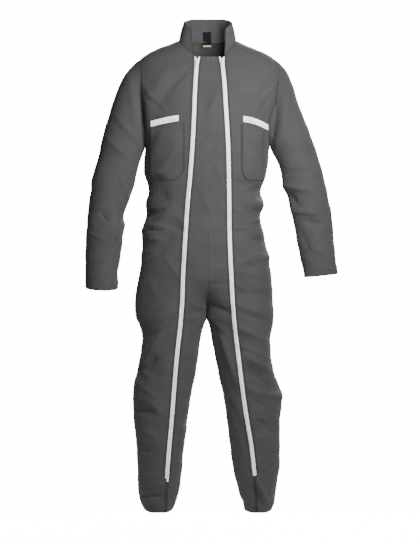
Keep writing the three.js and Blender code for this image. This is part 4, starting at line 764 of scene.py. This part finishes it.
ZIP_SEAM = {"width": 7, "height": 0.8, "pucker": 0.55, "wave": 21}
FLAT_SEAM = {"width": 8, "height": 0.7, "pucker": 0.45, "wave": 15}
WAIST_SEAM = {"width": 6, "height": 0.6, "pucker": 0.5, "wave": 17}
HEM_TURN = {"width": 26, "height": 1.3, "pucker": 0.6, "wave": 19}
grids = {}

def cloth_piece(node, grid, thickness=CLOTH, under=()):
    grids[node] = dict(grid)
    sheet = lay_under(dict(grid), **{edge: True for edge in under})
    edge = np.minimum(sheet["run"], sheet["run"][:, -1:] - sheet["run"])
    # The seam mask marks painted shade along the side edges of a panel. It is strongest at the edge and gone
    # about a centimetre in.
    sheet["seam"] = np.exp(-(edge / 5.5) ** 2) * 0.9
    obj = grid_mesh("cloth_" + node, sheet)
    solidify(obj, thickness)
    finish_piece(obj, CLOTH_DARK, node)
    declare_cut(obj, grid)
    return obj

centre = panel(trunk, *inset(CENTRE_TOP, WAIST), centre_edges)
sew_edges(centre, ZIP_SEAM, ZIP_SEAM, ZIP_SEAM, WAIST_SEAM)
cloth_piece("front_centre", centre)
for side in ("left", "right"):
    front = panel(trunk, *inset(-2, WAIST), upper_front_edges(side), levels=(COLLAR_FRONT, SHOULDER))
    sew_edges(front, ZIP_SEAM, FLAT_SEAM, None, WAIST_SEAM)
    cloth_piece("front_side_" + side, front, under=("right",))
back = panel(trunk, *inset(0, WAIST), back_edges, levels=(SHOULDER,))
sew_edges(back, FLAT_SEAM, FLAT_SEAM, FLAT_SEAM, WAIST_SEAM)
cloth_piece("back_upper", back)

# %% [markdown]
# ## Legs
# Each leg is a tube of three panels: one on each side of the zip in front, and one behind. Above
# the crotch the panels of both legs meet on the centre seam.

# %% Legs
SEAM_REACH = 8

def keep_on_side(side, grid):
    sign = SIGN[side]
    z = grid["z"]
    seam_x = -curve(LEGS, "leftInner", z) * parted_at(z)
    limit = seam_x + sign * SEAM / 2
    x = grid["points"][..., 0]
    kept = np.minimum(x, limit) if sign < 0 else np.maximum(x, limit)
    # The two sides meet on the centre seam, with no daylight between them
    for edge in (0, -1):
        gap = (limit - sign * SEAM - kept)[:, [edge]]
        far = np.linalg.norm(grid["points"] - grid["points"][:, [edge]], axis=-1)
        kept = kept + np.where(np.abs(gap) < SEAM_REACH, gap, 0) * np.exp(-(far / SEAM_REACH) ** 2)
    grid["points"][..., 0] = np.where(z >= CROTCH - 2, kept, x)

for side in ("left", "right"):
    end = ZIP_END[side]
    for piece, left_style, right_style in (("inner", FLAT_SEAM, ZIP_SEAM),
                                           ("outer", ZIP_SEAM, FLAT_SEAM),
                                           ("back", FLAT_SEAM, FLAT_SEAM)):
        grid = panel(side_of_leg(side), *inset(WAIST, HEM), leg_edges(side, piece),
                     levels=(CROTCH, end, end - SEAM))
        sew_edges(grid, left_style, right_style, WAIST_SEAM, HEM_TURN)
        keep_on_side(side, grid)
        grid["run"] = run_of(grid["points"])
        allowance = {"inner": ("left", "top"), "outer": ("right", "top"), "back": ("right", "top")}
        cloth_piece("back_leg_" + side if piece == "back" else f"front_{piece}_{side}", grid,
                    under=allowance[piece])

# %% [markdown]
# ## Sleeves
# A sleeve is a tube that is set into the armhole. Its first ring lies on the armhole of the
# trunk, and the rings after it follow the arm out and down, with the bend of a relaxed elbow.

# %% Sleeves
RING = 84

def armhole_ring(side, turns):
    sign = SIGN[side]
    level = SHOULDER - (SHOULDER - ARMPIT) * (1 - np.cos(turns)) / 2
    key = "frontLeft" if sign < 0 else "frontRight"
    front = on_front(sign * curve(ARMHOLE, key, level), level)
    behind = find(trunk, level, sign * curve(ARMHOLE, "back", level), math.pi, 0.0)
    ring = trunk(np.where(turns <= math.pi, front, behind), level)
    ring[:, 0] += sign * SEAM * 1.2
    return ring

def through(rings, place):
    """Smooth curve through a stack of rings at fractional places."""
    last = len(rings) - 1
    i = np.clip(np.floor(place).astype(int), 0, last - 1)
    t = (place - i)[:, None, None]
    before, here = rings[np.clip(i - 1, 0, last)], rings[i]
    after, far = rings[i + 1], rings[np.clip(i + 2, 0, last)]
    slope_here, slope_after = (after - before) / 2, (far - here) / 2
    return (here * (2 * t ** 3 - 3 * t ** 2 + 1) + slope_here * (t ** 3 - 2 * t ** 2 + t)
            + after * (3 * t ** 2 - 2 * t ** 3) + slope_after * (t ** 3 - t ** 2))

def sleeve_grid(side):
    form, sign = SLEEVES[side], SIGN[side]
    even = np.linspace(0, 2 * math.pi, RING + 1)
    armhole = armhole_ring(side, even)
    rings, angles = [armhole], [even]
    for row in range(len(form["outX"])):
        across, forward = (1 - np.cos(even)) / 2, np.sin(even)
        depth = np.where(forward > 0, form["front"][row], form["back"][row])
        rings.append(np.stack([
            mix(form["outX"][row], form["inX"][row], across), form["y"][row] - depth * forward,
            mix(form["outZ"][row], form["inZ"][row], across) - form["drop"][row] * np.abs(forward)],
            axis=-1))
    rings = np.array(rings)
    lengths = np.linalg.norm(np.diff(rings, axis=0), axis=-1).mean(axis=1)
    places = np.concatenate([[0]] + [
        np.linspace(step, step + 1, max(int(length / STEP), 1) + 1)[1:]
        for step, length in enumerate(lengths)])
    points = through(rings, places)
    blend = smooth_step(0, 1, places)[:, None]
    lift = lift_of(points[..., 0], points[..., 1], points[..., 2]) * blend
    # Fullness of the sleeve head, eased into the armhole
    head = np.exp(-((places - 0.55) / 0.5) ** 2)[:, None] * np.exp(-(np.sin(even / 2) / 0.55) ** 2)
    lift = lift + 2.2 * head
    points[..., 0] += sign * lift * np.cos(even)
    points[..., 1] -= lift * np.sin(even)
    middle = points[:, :-1].mean(axis=1, keepdims=True)
    grid = {"points": points, "z": points[..., 2], "run": run_of(points)}
    grid["normals"] = normals_of(points, points - middle)
    steps = np.linalg.norm(np.diff(points, axis=0), axis=-1)
    grid["down"] = np.concatenate([np.zeros((1, RING + 1)), np.cumsum(steps, axis=0)])
    return grid

for side in ("left", "right"):
    grid = sleeve_grid(side)
    raised(grid, seam_relief(grid["down"], grid["run"], 6, -0.5, 0.5, 13))
    raised(grid, seam_relief(grid["down"][-1:] - grid["down"], grid["run"], 27, 1.3, 0.6, 19))
    for key in ("points", "normals", "z", "run", "down"):
        grid[key] = grid[key][:, :-1]
    grids["sleeve_" + side] = grid
    sheet = lay_under({**grid, "z": -grid["down"]}, top=True)
    # The seam mask paints shade along the armhole end of the sleeve.
    sheet["seam"] = np.exp(-((sheet["z"] + 0.5) / 5) ** 2) * 0.8
    obj = grid_mesh("cloth_sleeve_" + side, sheet, closed=True)
    solidify(obj, CLOTH)
    finish_piece(obj, CLOTH_DARK, "sleeve_" + side)
    declare_cut(obj, grid)

# %% [markdown]
# ## Stand collar
# The collar stands up from the neck seam, two layers thick, and leans in a little towards its
# top edge. In front its ends stay open above the zips.

# %% Collar
COLLAR_SHARE, COLLAR_END = 0.69, 130
COLLAR_TOP = {"halfX": 78, "halfY": 62, "y": -1, "back": 74, "side": 63, "drop": 22}
COLLAR_THICK = 2.4

def collar_grid():
    around = np.linspace(-1, 1, 121)
    up = np.linspace(0, 1, 20)
    theta, size = np.radians(90 - around * COLLAR_END), np.abs(around)
    base_theta = np.radians(90 - 90 * around / COLLAR_SHARE)
    behind = trunk(base_theta, np.zeros_like(around))
    share = np.clip((size - COLLAR_SHARE) / (1 - COLLAR_SHARE), 0, 1)
    level = COLLAR_FRONT * share
    rim = np.where(around < 0, -TRUNK["left"][0], TRUNK["right"][0])
    x = mix(rim, np.where(around < 0, neck_end("left"), neck_end("right")), share)
    before = trunk(on_front(x, level), level)
    base = np.where((size <= COLLAR_SHARE)[:, None], behind, before)
    base[:, 2] += SEAM
    radius = rounded_radius(np.cos(theta), np.sin(theta), COLLAR_TOP["halfX"], COLLAR_TOP["halfY"])
    top_z = (mix(COLLAR_TOP["back"], COLLAR_TOP["side"], smooth_step(0.3, 0.75, size))
             - COLLAR_TOP["drop"] * smooth_step(0.75, 1, size))
    top = np.stack([radius * np.cos(theta), COLLAR_TOP["y"] + radius * np.sin(theta), top_z], axis=-1)
    points = mix(base[None], top[None], up[:, None, None])
    bulge = 3 * np.sin(math.pi * up)[:, None]
    wave = 1.1 * np.sin(around * 9 + 0.8)[None] * up[:, None] + 0.7 * np.sin(around * 23 + up[:, None] * 4)
    points[..., 0] += (bulge + wave) * np.cos(theta)
    points[..., 1] += (bulge + wave) * np.sin(theta)
    middle = np.array([0.0, -5.0, 20.0])
    outside = (points - middle) * np.array([1, 1, 0.2])
    grid = {"points": points[::-1], "normals": normals_of(points[::-1], outside[::-1])}
    grid["run"] = run_of(grid["points"])
    grid["z"] = grid["points"][..., 2] * 1.0
    steps = np.linalg.norm(np.diff(grid["points"], axis=0), axis=-1)
    grid["down"] = np.concatenate([np.zeros((1, 121)), np.cumsum(steps, axis=0)])
    return grid

grid = collar_grid()
raised(grid, seam_relief(grid["down"], grid["run"], 7, 0.7, 0.3, 17))
raised(grid, seam_relief(grid["run"], grid["down"], 7, 0.7, 0.3, 17))
raised(grid, seam_relief(grid["run"][:, -1:] - grid["run"], grid["down"], 7, 0.7, 0.3, 17))
foot = {key: grid[key][::-1] for key in ("points", "normals", "z")}
foot = lay_under({**foot, "run": grid["run"][::-1]}, top=True, depth=0.35)
for key in ("points", "normals", "z", "run"):
    grid[key] = foot[key][::-1]
cloth_piece("collar", grid, COLLAR_THICK)

# %% [markdown]
# ## Chest pockets
# Patch pockets lie on the front panels. The grid of a pocket is made from the points of the
# panel under it, moved out by the thickness of the cloth, so a pocket shares the panel's folds.

# %% Pockets
POCKETS = {
    "left": {"topInner": -272, "topOuter": -292, "bottom": -463, "innerX": -77, "outerX": -192,
             "corner": 40},
    "right": {"topInner": -276, "topOuter": -305, "bottom": -463, "innerX": 110, "outerX": 184,
              "corner": 25},
}
POCKET_ZIPS = {
    "left": {"innerX": -97, "innerZ": -258.5, "outerX": -189, "outerZ": -277.5, "rise": 1},
    "right": {"innerX": 117, "innerZ": -261.5, "outerX": 199, "outerZ": -289, "rise": 5},
}
POCKET_ZIP_HALF = 9.6
PATCH = 1.4

def on_panel(x, z, height):
    """Points of the fronts at x and z, moved out of the cloth, with their normals."""
    flat_x, flat_z = np.ravel(x), np.ravel(z)
    points, normals = frame_on(trunk, on_front(flat_x, flat_z), flat_z, 0.01)
    points = points + normals * np.ravel(height + 0 * x)[:, None]
    return points.reshape(*np.shape(x), 3), normals.reshape(*np.shape(x), 3)

def pocket_grid(side):
    shape = POCKETS[side]
    rows = np.linspace(0, 1, 42)
    t = np.linspace(0, 1, int(abs(shape["outerX"] - shape["innerX"]) / 3.6))
    middle_top = (shape["topInner"] + shape["topOuter"]) / 2
    z_line = mix(middle_top, shape["bottom"], rows)
    bend = np.clip((shape["bottom"] + 45 - z_line) / 45, 0, 1)
    cut = shape["corner"] * (1 - np.sqrt(1 - bend * bend))
    start = shape["innerX"] + np.sign(shape["innerX"]) * cut
    x = start[:, None] + (shape["outerX"] - start)[:, None] * t[None]
    slant = (t - 0.5)[None] * (shape["topOuter"] - shape["topInner"]) * (1 - rows[:, None]) ** 1.5
    z = z_line[:, None] + slant
    edge = np.minimum(rows, 1 - rows)[:, None] * 4 * np.minimum(t, 1 - t)[None]
    points, normals = on_panel(x, z, 0.8 + PATCH)
    points = points + normals * (2.5 * smooth_step(0, 0.6, edge))[..., None]
    return {"points": points, "normals": normals, "z": z, "run": run_of(points)}

PATCH_EDGE = {"width": 7, "height": 0.7, "pucker": 0.35, "wave": 15}
for side in ("left", "right"):
    grid = pocket_grid(side)
    sew_edges(grid, PATCH_EDGE, PATCH_EDGE, {"width": 16, "height": 0.7, "pucker": 0.2},
              PATCH_EDGE)
    cloth_piece("chest_pocket_" + side, grid, PATCH)

# %% [markdown]
# ## Long zips
# A zip is two woven tapes with a coil of nylon sewn along their edges. The tapes fill the gap
# between the cloth edges. Above the top slider they part, and the coil of each side goes with
# its tape.

# %% Tape halves
TOP_SLIDER = -70
END_SLIDER = 12

def front_frame(side, x, z):
    """Points and normals on the outside of the suit at x, on the trunk or on a leg."""
    x, z = np.broadcast_arrays(np.asarray(x, float), np.asarray(z, float))
    shape, flat_x, flat_z = x.shape, x.ravel(), z.ravel()
    upper = flat_z >= WAIST
    points, normals = np.zeros((len(flat_x), 3)), np.zeros((len(flat_x), 3))
    for chosen, surface, low, high, step in ((upper, trunk, -math.pi, 0.0, 0.01),
                                             (~upper, side_of_leg(side), 0.005, 0.5, 0.003)):
        if chosen.any():
            level = flat_z[chosen]
            place = find(surface, level, flat_x[chosen], low, high)
            points[chosen], normals[chosen] = frame_on(surface, place, level, step)
    return points.reshape(*shape, 3), normals.reshape(*shape, 3)

def parting(z):
    """How far each coil has moved from the middle, above the top slider."""
    return 5.2 * smooth_step(TOP_SLIDER + 5, CENTRE_TOP, z)

def tape_grid(side, half):
    top, bottom = CENTRE_TOP - 0.2, ZIP_END[side] + SEAM + 0.2
    z = np.linspace(top, bottom, int((top - bottom) / 4))
    middle = curve(ZIPS, side, z)
    inner = parting(z)
    t = np.array([0, 0.25, 0.5, 0.75, 1.0, 1.02, 1.4])
    offset = inner[:, None] + (zip_half(z) - inner)[:, None] * t[None]
    points, normals = front_frame(side, middle[:, None] + half * offset, z[:, None] + 0 * offset)
    # Past the edge of the cloth the tape dips and lies beneath it
    sunk = (-0.9 + 0.25 * np.sin(z / 3.1)[:, None] * t[None]) - 1.6 * smooth_step(0.98, 1.03, t)[None]
    points = points + normals * sunk[..., None]
    return {"points": points, "normals": normals, "z": z[:, None] + 0 * offset, "run": run_of(points)}

def join(objects, name):
    select_only(*objects)
    bpy.ops.object.join()
    joined = objects[0]
    joined.name = name
    joined.data.name = name
    return joined

# %% [markdown]
# ## Coil teeth
# Close up, a nylon coil shows as a row of short bars that lean together along the middle of the
# zip. One bar has a few dozen faces at most, because there are hundreds of them.

# %% Teeth
TOOTH_PITCH = 2.4
TOOTH = np.array([(x, y, z) for z in (-0.5, 0.75) for x, y in
                  ((-1.6, -0.45), (1.5, -0.75), (1.5, 0.75), (-1.6, 0.45))])
TOOTH_FACES = np.array([(0, 3, 2, 1), (4, 5, 6, 7), (0, 1, 5, 4), (1, 2, 6, 5), (2, 3, 7, 6),
                        (3, 0, 4, 7)])

def bars(name, shape, faces, origins, across, along, out):
    """Copies of a small closed shape, one at each origin with its own axes."""
    frames = np.stack([across, along, out], axis=1)
    if np.linalg.det(frames[0]) <= 0:
        faces = faces[:, ::-1]
    vertices = origins[:, None] + np.einsum("vk,nkc->nvc", shape, frames)
    shift = (np.arange(len(origins)) * len(shape))[:, None, None]
    all_faces = (faces[None] + shift).reshape(-1, faces.shape[1])
    mesh = bpy.data.meshes.new(name)
    mesh.from_pydata((vertices.reshape(-1, 3) * MM).tolist(), [], all_faces.tolist())
    return new_object(name, mesh)

def coil(name, side, half):
    top, bottom = CENTRE_TOP - 2.5, ZIP_END[side] + END_SLIDER - 5
    z = np.arange(top, bottom, -TOOTH_PITCH) - (TOOTH_PITCH / 2 if half > 0 else 0)
    x = curve(ZIPS, side, z) + half * (1.35 + parting(z))
    points, normals = front_frame(side, x, z)
    ahead, _ = front_frame(side, curve(ZIPS, side, z + 2) + half * (1.35 + parting(z + 2)), z + 2)
    along = unit(ahead - points)
    across = unit(np.cross(along, normals)) * -half
    out = unit(np.cross(across, along))
    out *= np.sign(np.sum(out * normals, axis=-1, keepdims=True))
    return bars(name, TOOTH, TOOTH_FACES, points + normals * 0.3, across, along, out)

for side in ("left", "right"):
    tapes, coils = [], []
    for half in (-1, 1):
        tape = grid_mesh(f"tape_{side}_{half}", tape_grid(side, half))
        solidify(tape, 0.9)
        tapes.append(tape)
        coils.append(coil(f"coil_{side}_{half}", side, half))
    tape = finish_piece(join(tapes, "long_zip_tape_" + side), TAPE_WHITE, "long_zip_" + side)
    finish_piece(join(coils, "long_zip_coil_" + side), COIL_NYLON)

# %% [markdown]
# ## Pocket zips
# The pocket zips are wider bands of tape that show whole, with the coil along the middle.

# %% Pocket zips
def pocket_zip_line(side, along, across):
    shape = POCKET_ZIPS[side]
    z = mix(shape["innerZ"], shape["outerZ"], along) + shape["rise"] * np.sin(math.pi * along)
    return mix(shape["innerX"], shape["outerX"], along), z - across * POCKET_ZIP_HALF

def pocket_zip_grid(side):
    along = np.linspace(0, 1, 34)[None]
    across = np.linspace(-1, 1, 13)[:, None]
    x, z = pocket_zip_line(side, along + 0 * across, across + 0 * along)
    middle = np.exp(-((across * POCKET_ZIP_HALF) / 3.2) ** 4)
    points, normals = on_panel(x, z, 2.0 + 0.7 * middle + 0.15 * np.sin(x / 2.6))
    return {"points": points, "normals": normals, "z": z, "run": run_of(points)}

def pocket_coil(name, side, half):
    shape = POCKET_ZIPS[side]
    length = math.hypot(shape["outerX"] - shape["innerX"], shape["outerZ"] - shape["innerZ"])
    along = np.arange(5, length - 4, TOOTH_PITCH) / length
    along = along + (TOOTH_PITCH / 2 / length if half > 0 else 0)
    x, z = pocket_zip_line(side, along, half * 1.35 / POCKET_ZIP_HALF)
    points, normals = on_panel(x, z, 2.7)
    next_x, next_z = pocket_zip_line(side, along + 0.01, half * 1.35 / POCKET_ZIP_HALF)
    ahead, _ = on_panel(next_x, next_z, 2.7)
    forward = unit(ahead - points)
    sideways = unit(np.cross(forward, normals))
    out = unit(np.cross(sideways, forward))
    out *= np.sign(np.sum(out * normals, axis=-1, keepdims=True))
    sideways *= half * np.sign(sideways[:, 2:3])
    return bars(name, TOOTH * 0.9, TOOTH_FACES, points, sideways, forward, out)

for side in ("left", "right"):
    tape = grid_mesh("pocket_zip_tape_" + side, pocket_zip_grid(side))
    solidify(tape, 0.9)
    finish_piece(tape, TAPE_WHITE, "pocket_zip_" + side)
    teeth = join([pocket_coil(f"pocket_coil_{side}_{half}", side, half) for half in (-1, 1)],
                 "pocket_zip_coil_" + side)
    finish_piece(teeth, COIL_NYLON)

# %% [markdown]
# ## Sliders
# A slider is a small wedge-shaped body with a bridge on top, from which the pull tab swings. It is
# modelled once, from a cube that is tapered, bevelled and given its bridge, and copied to each place.

# %% Slider
SLIDER = {"length": 13.0, "width": 9.4, "waist": 6.4, "top": 3.2, "sink": 0.6}
BRIDGE = {"outer": 3.2, "inner": 1.7, "opening": 5.2, "top": 6.4, "width": 2.4, "foot": 2.4}

def extruded(name, outline, low, high, axes=(0, 1, 2)):
    """A block from a flat outline, made by extruding one face."""
    mesh = bpy.data.meshes.new(name)
    corners = []
    for u, v in outline:
        spot = [0.0, 0.0, 0.0]
        spot[axes[0]], spot[axes[1]], spot[axes[2]] = u * MM, v * MM, low * MM
        corners.append(spot)
    mesh.from_pydata(corners, [], [tuple(range(len(corners)))])
    obj = new_object(name, mesh)
    select_only(obj)
    bpy.ops.object.mode_set(mode="EDIT")
    bpy.ops.mesh.select_all(action="SELECT")
    move = [0.0, 0.0, 0.0]
    move[axes[2]] = (high - low) * MM
    bpy.ops.mesh.extrude_region_move(TRANSFORM_OT_translate={"value": move})
    bpy.ops.mesh.select_all(action="SELECT")
    bpy.ops.mesh.normals_make_consistent(inside=False)
    bpy.ops.object.mode_set(mode="OBJECT")
    return obj

def bevelled(obj, width, segments=2):
    select_only(obj)
    modifier = obj.modifiers.new("rounded edges", "BEVEL")
    modifier.width = width * MM
    modifier.segments = segments
    modifier.limit_method = "ANGLE"
    bpy.ops.object.modifier_apply(modifier=modifier.name)
    bpy.ops.object.shade_smooth_by_angle(angle=math.radians(40))
    return obj

reach, half, waist = SLIDER["length"] / 2, SLIDER["width"] / 2, SLIDER["waist"] / 2
body = bevelled(extruded("slider_body",
                         [(-half, reach), (-half * 0.98, reach * 0.1), (-waist, -reach),
                          (waist, -reach), (half * 0.98, reach * 0.1), (half, reach)],
                         -SLIDER["sink"], SLIDER["top"]), 0.8, 3)
b = BRIDGE
arch = bevelled(extruded("slider_bridge",
                         [(-b["outer"], b["foot"]), (-b["inner"], b["foot"]), (-b["inner"], b["opening"]),
                          (b["inner"], b["opening"]), (b["inner"], b["foot"]), (b["outer"], b["foot"]),
                          (b["outer"], b["opening"]), (b["inner"], b["top"]), (-b["inner"], b["top"]),
                          (-b["outer"], b["opening"])],
                         -b["width"] / 2, b["width"] / 2, axes=(1, 2, 0)), 0.35)
SLIDER_MODEL = join([body, arch], "slider_model")

def slider_frame(point, normal, along):
    across = unit(np.cross(along, normal))
    straight = np.cross(normal, across)
    frame_matrix = np.eye(4)
    frame_matrix[:3, 0], frame_matrix[:3, 1], frame_matrix[:3, 2] = across, straight, normal
    frame_matrix[:3, 3] = point * MM
    return Matrix(frame_matrix.tolist())

def placed_slider(name, matrix):
    copy = new_object(name, SLIDER_MODEL.data.copy())
    copy.data.transform(matrix)
    return finish_piece(copy, ENAMEL)

for side in ("left", "right"):
    for which, z in (("top", TOP_SLIDER), ("lower", ZIP_END[side] + END_SLIDER)):
        levels = np.array([z, z + 5, z - 5], dtype=float)
        points, normals = front_frame(side, curve(ZIPS, side, levels), levels)
        matrix = slider_frame(points[0], normals[0], points[1] - points[2])
        placed_slider(f"slider_{which}_{side}", matrix)
    along = np.array([0.09, 0.0])
    x, z = pocket_zip_line(side, along, 0 * along)
    points, normals = on_panel(x, z, 2.45)
    placed_slider("slider_pocket_" + side, slider_frame(points[0], normals[0], points[1] - points[0]))
bpy.data.objects.remove(SLIDER_MODEL)

# %% [markdown]
# ## Pull tabs
# Each tab hangs by its window on the bridge of a slider, and is a body of its own. Its shape in
# the frame is already right, so the copy only gets rounded edges and enamel.

# %% Tabs
for node in [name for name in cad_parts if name.startswith("tab_")]:
    source = bpy.data.objects.get(node)
    tab = new_object("pull_" + node, source.data.copy())
    select_only(tab)
    bpy.ops.object.mode_set(mode="EDIT")
    bpy.ops.mesh.select_all(action="SELECT")
    bpy.ops.mesh.remove_doubles(threshold=0.00002)
    bpy.ops.mesh.dissolve_limited(angle_limit=math.radians(2))
    bpy.ops.object.mode_set(mode="OBJECT")
    bevelled(tab, 0.25)
    finish_piece(tab, ENAMEL, node, body=node)

# %% [markdown]
# ## Stitching
# Work clothes are sewn with strong thread, about three stitches to a centimetre, beside each zip
# and along each felled seam. One stitch is a short arched bar, and a row is many copies of it
# along a line at a fixed distance from the edge of a panel.

# %% Stitches
STITCH_PITCH = 3.4
STITCH_LENGTH, STITCH_HALF, STITCH_RISE = 2.7, 0.36, 0.45
STITCH = np.array([spot for y, top in ((-0.5, 0.05), (0, STITCH_RISE), (0.5, 0.05)) for spot in (
    (-STITCH_HALF, y * STITCH_LENGTH, -0.3), (STITCH_HALF, y * STITCH_LENGTH, -0.3),
    (STITCH_HALF, y * STITCH_LENGTH, top), (-STITCH_HALF, y * STITCH_LENGTH, top))])
STITCH_FACES = np.array([(0, 1, 2, 3), (8, 11, 10, 9)] + [
    (k + 0 + j, k + 4 + j, k + 4 + (j + 1) % 4, k + (j + 1) % 4) for k in (0, 4) for j in range(4)])
ZIP_ROW, FELLED_ROW, HEM_ROW = 2.4, 7.0, 24.0

def line_at(grid, edge, distance):
    """Points and normals of a panel on a line at a distance from one of its edges."""
    points, normals = grid["points"], grid["normals"]
    if edge in ("top", "bottom"):
        points, normals = points.swapaxes(0, 1), normals.swapaxes(0, 1)
    if edge in ("right", "bottom"):
        points, normals = points[:, ::-1], normals[:, ::-1]
    spots = [[np.interp(distance, run, row[:, k]) for k in range(3)]
             for run, row in zip(run_of(points), points)]
    facing = [[np.interp(distance, run, row[:, k]) for k in range(3)]
              for run, row in zip(run_of(points), normals)]
    return np.array(spots), unit(np.array(facing))

def spaced(points, normals, pitch):
    """Points, normals and directions along a line, one pitch apart."""
    run = np.concatenate([[0], np.cumsum(np.linalg.norm(np.diff(points, axis=0), axis=-1))])
    places = np.arange(pitch, run[-1] - pitch / 2, pitch)

    def pick(values, at):
        return np.stack([np.interp(at, run, values[:, k]) for k in range(3)], axis=-1)
    along = unit(pick(points, places + 1) - pick(points, places - 1))
    return pick(points, places), unit(pick(normals, places)), along

def sewn(rows):
    """Origins, across, along and out of every stitch in some rows."""
    parts = []
    for points, normals in rows:
        spots, out, along = spaced(points, normals, STITCH_PITCH)
        across = unit(np.cross(along, out))
        parts.append(np.stack([spots, across, along, np.cross(across, along)]))
    return np.concatenate(parts, axis=1)

def stitching(name, rows):
    spots, across, along, out = sewn(rows)
    obj = bars(name, STITCH, STITCH_FACES, spots, across, along, out)
    print(f"  {name}: {len(spots)} stitches")
    return finish_piece(obj, THREAD_DARK)

ROWS = {"front_centre": {"left": ZIP_ROW, "right": ZIP_ROW, "top": 4, "bottom": 3},
        "back_upper": {"left": FELLED_ROW, "right": FELLED_ROW, "bottom": 3, "top": 3},
        "collar": {"left": 4, "right": 4, "top": 5, "bottom": 8}}
for side in ("left", "right"):
    ROWS["front_side_" + side] = {"left": ZIP_ROW, "right": FELLED_ROW, "bottom": 3}
    ROWS["front_inner_" + side] = {"left": FELLED_ROW, "right": ZIP_ROW, "top": 3, "bottom": HEM_ROW}
    ROWS["front_outer_" + side] = {"left": ZIP_ROW, "right": FELLED_ROW, "top": 3, "bottom": HEM_ROW}
    ROWS["back_leg_" + side] = {"left": FELLED_ROW, "right": FELLED_ROW, "top": 3, "bottom": HEM_ROW}
    ROWS["sleeve_" + side] = {"top": 3, "bottom": HEM_ROW + 1}
    ROWS["chest_pocket_" + side] = {"left": 2.2, "right": 2.2, "bottom": 2.2, "top": 14}
for node, edges in ROWS.items():
    stitching("stitches_" + node, [line_at(grids[node], edge, far) for edge, far in edges.items()])

# %% [markdown]
# ## Neck label
# A woven label folded over and sewn flat inside the back of the collar, dark, with a narrow pale
# band at its lower end and nothing written on it.

# %% Label
LABEL = {"width": 27.0, "low": -25.0, "high": 25.0, "band": 6.0, "thick": 0.8,
         "x": -3.0, "y": 52.3, "z": 6.0}

def label_piece(name, low, high, material, node=None):
    across = np.linspace(-LABEL["width"] / 2, LABEL["width"] / 2, 13)
    up = np.linspace(high, low, 14)
    x, z = np.meshgrid(across, up)
    ripple = 0.25 * np.sin(x / 4.3 + z / 9) + 0.2 * np.sin(z / 5)
    y = LABEL["y"] - LABEL["thick"] / 2 + ripple
    points = np.stack([x + LABEL["x"], y, z + LABEL["z"]], axis=-1)
    grid = {"points": points, "normals": np.broadcast_to(np.array([0.0, -1.0, 0.0]), points.shape),
            "z": z, "run": run_of(points)}
    obj = grid_mesh(name, grid)
    solidify(obj, LABEL["thick"])
    finish_piece(obj, material, node)

label_piece("label_body", LABEL["low"] + LABEL["band"], LABEL["high"], LABEL_WOVEN, "neck_label")
label_piece("label_end", LABEL["low"], LABEL["low"] + LABEL["band"], LABEL_END)

# %% [markdown]
# ## Floor and light
# A disc of pale paper lies under the suit and fades into a white surround. A soft light close in
# front, a little to the right, gives the form, and one far in front opens up the shadows. A narrow
# one shines into the neck, as a photographer does with a small reflector, and a large one behind
# lights the back.

# %% Studio
FLOOR_Z = -1.62
AMBIENT = 0.12
BACKDROP = 16.0
bpy.ops.object.select_all(action="DESELECT")
bpy.ops.mesh.primitive_circle_add(vertices=96, radius=2.6, fill_type="NGON", location=(0, 0, FLOOR_Z))
paper = bpy.context.object
paper.name = "paper_floor"
paper_material, paper_tree, paper_shader = new_material("white_paper")
paper_shader.inputs["Base Color"].default_value = (0.9, 0.9, 0.9, 1)
paper_shader.inputs["Roughness"].default_value = 0.95
paper_shader.inputs["Emission Color"].default_value = (1, 1, 1, 1)
paper_seen = add_node(paper_tree, "ShaderNodeLightPath").outputs["Is Camera Ray"]
paper_tree.links.new(maths(paper_tree, "MULTIPLY", paper_seen, BACKDROP - 1),
                     paper_shader.inputs["Emission Strength"])
paper_place = add_node(paper_tree, "ShaderNodeTexCoord").outputs["Object"]
distance = add_node(paper_tree, "ShaderNodeVectorMath", {0: paper_place}, operation="LENGTH")
fade = add_node(paper_tree, "ShaderNodeMapRange",
                {"Value": distance.outputs["Value"], "From Min": 0.5, "From Max": 2.5,
                 "To Min": 1.0, "To Max": 0.0}, interpolation_type="SMOOTHSTEP")
paper_tree.links.new(fade.outputs["Result"], paper_shader.inputs["Alpha"])
paper.data.materials.append(paper_material)

def soft_light(name, place, target, size, power, spread=180):
    data = bpy.data.lights.new(name, "AREA")
    data.spread = math.radians(spread)
    data.shape = "RECTANGLE"
    data.size, data.size_y = size
    data.energy = power
    obj = bpy.data.objects.new(name, data)
    obj.location = place
    direction = Vector(target) - Vector(place)
    obj.rotation_euler = direction.to_track_quat("-Z", "Y").to_euler()
    obj.visible_camera = False
    bpy.context.scene.collection.objects.link(obj)

soft_light("key", (0.5, -1.45, 0.12), (0, 0, -0.25), (0.8, 0.7), 76)
soft_light("front", (-0.9, -5.0, 0.1), (0, 0, -0.2), (1.6, 1.6), 30)
soft_light("neck", (0.0, -1.6, 0.04), (0, 0.05, 0.0), (0.08, 0.06), 0.05, spread=4)
soft_light("back", (0.6, 3.2, 1.2), (0, 0, -0.6), (2.4, 1.8), 300)
world = bpy.data.worlds.new("studio")
bpy.context.scene.world = world
world.use_nodes = True
sky = world.node_tree
seen = add_node(sky, "ShaderNodeLightPath").outputs["Is Camera Ray"]
sky.nodes["Background"].inputs["Color"].default_value = (1, 1, 1, 1)
sky.links.new(maths(sky, "MULTIPLY_ADD", seen, BACKDROP - AMBIENT, AMBIENT),
              sky.nodes["Background"].inputs["Strength"])

# %% Finish
print("pieces:", len(finished))
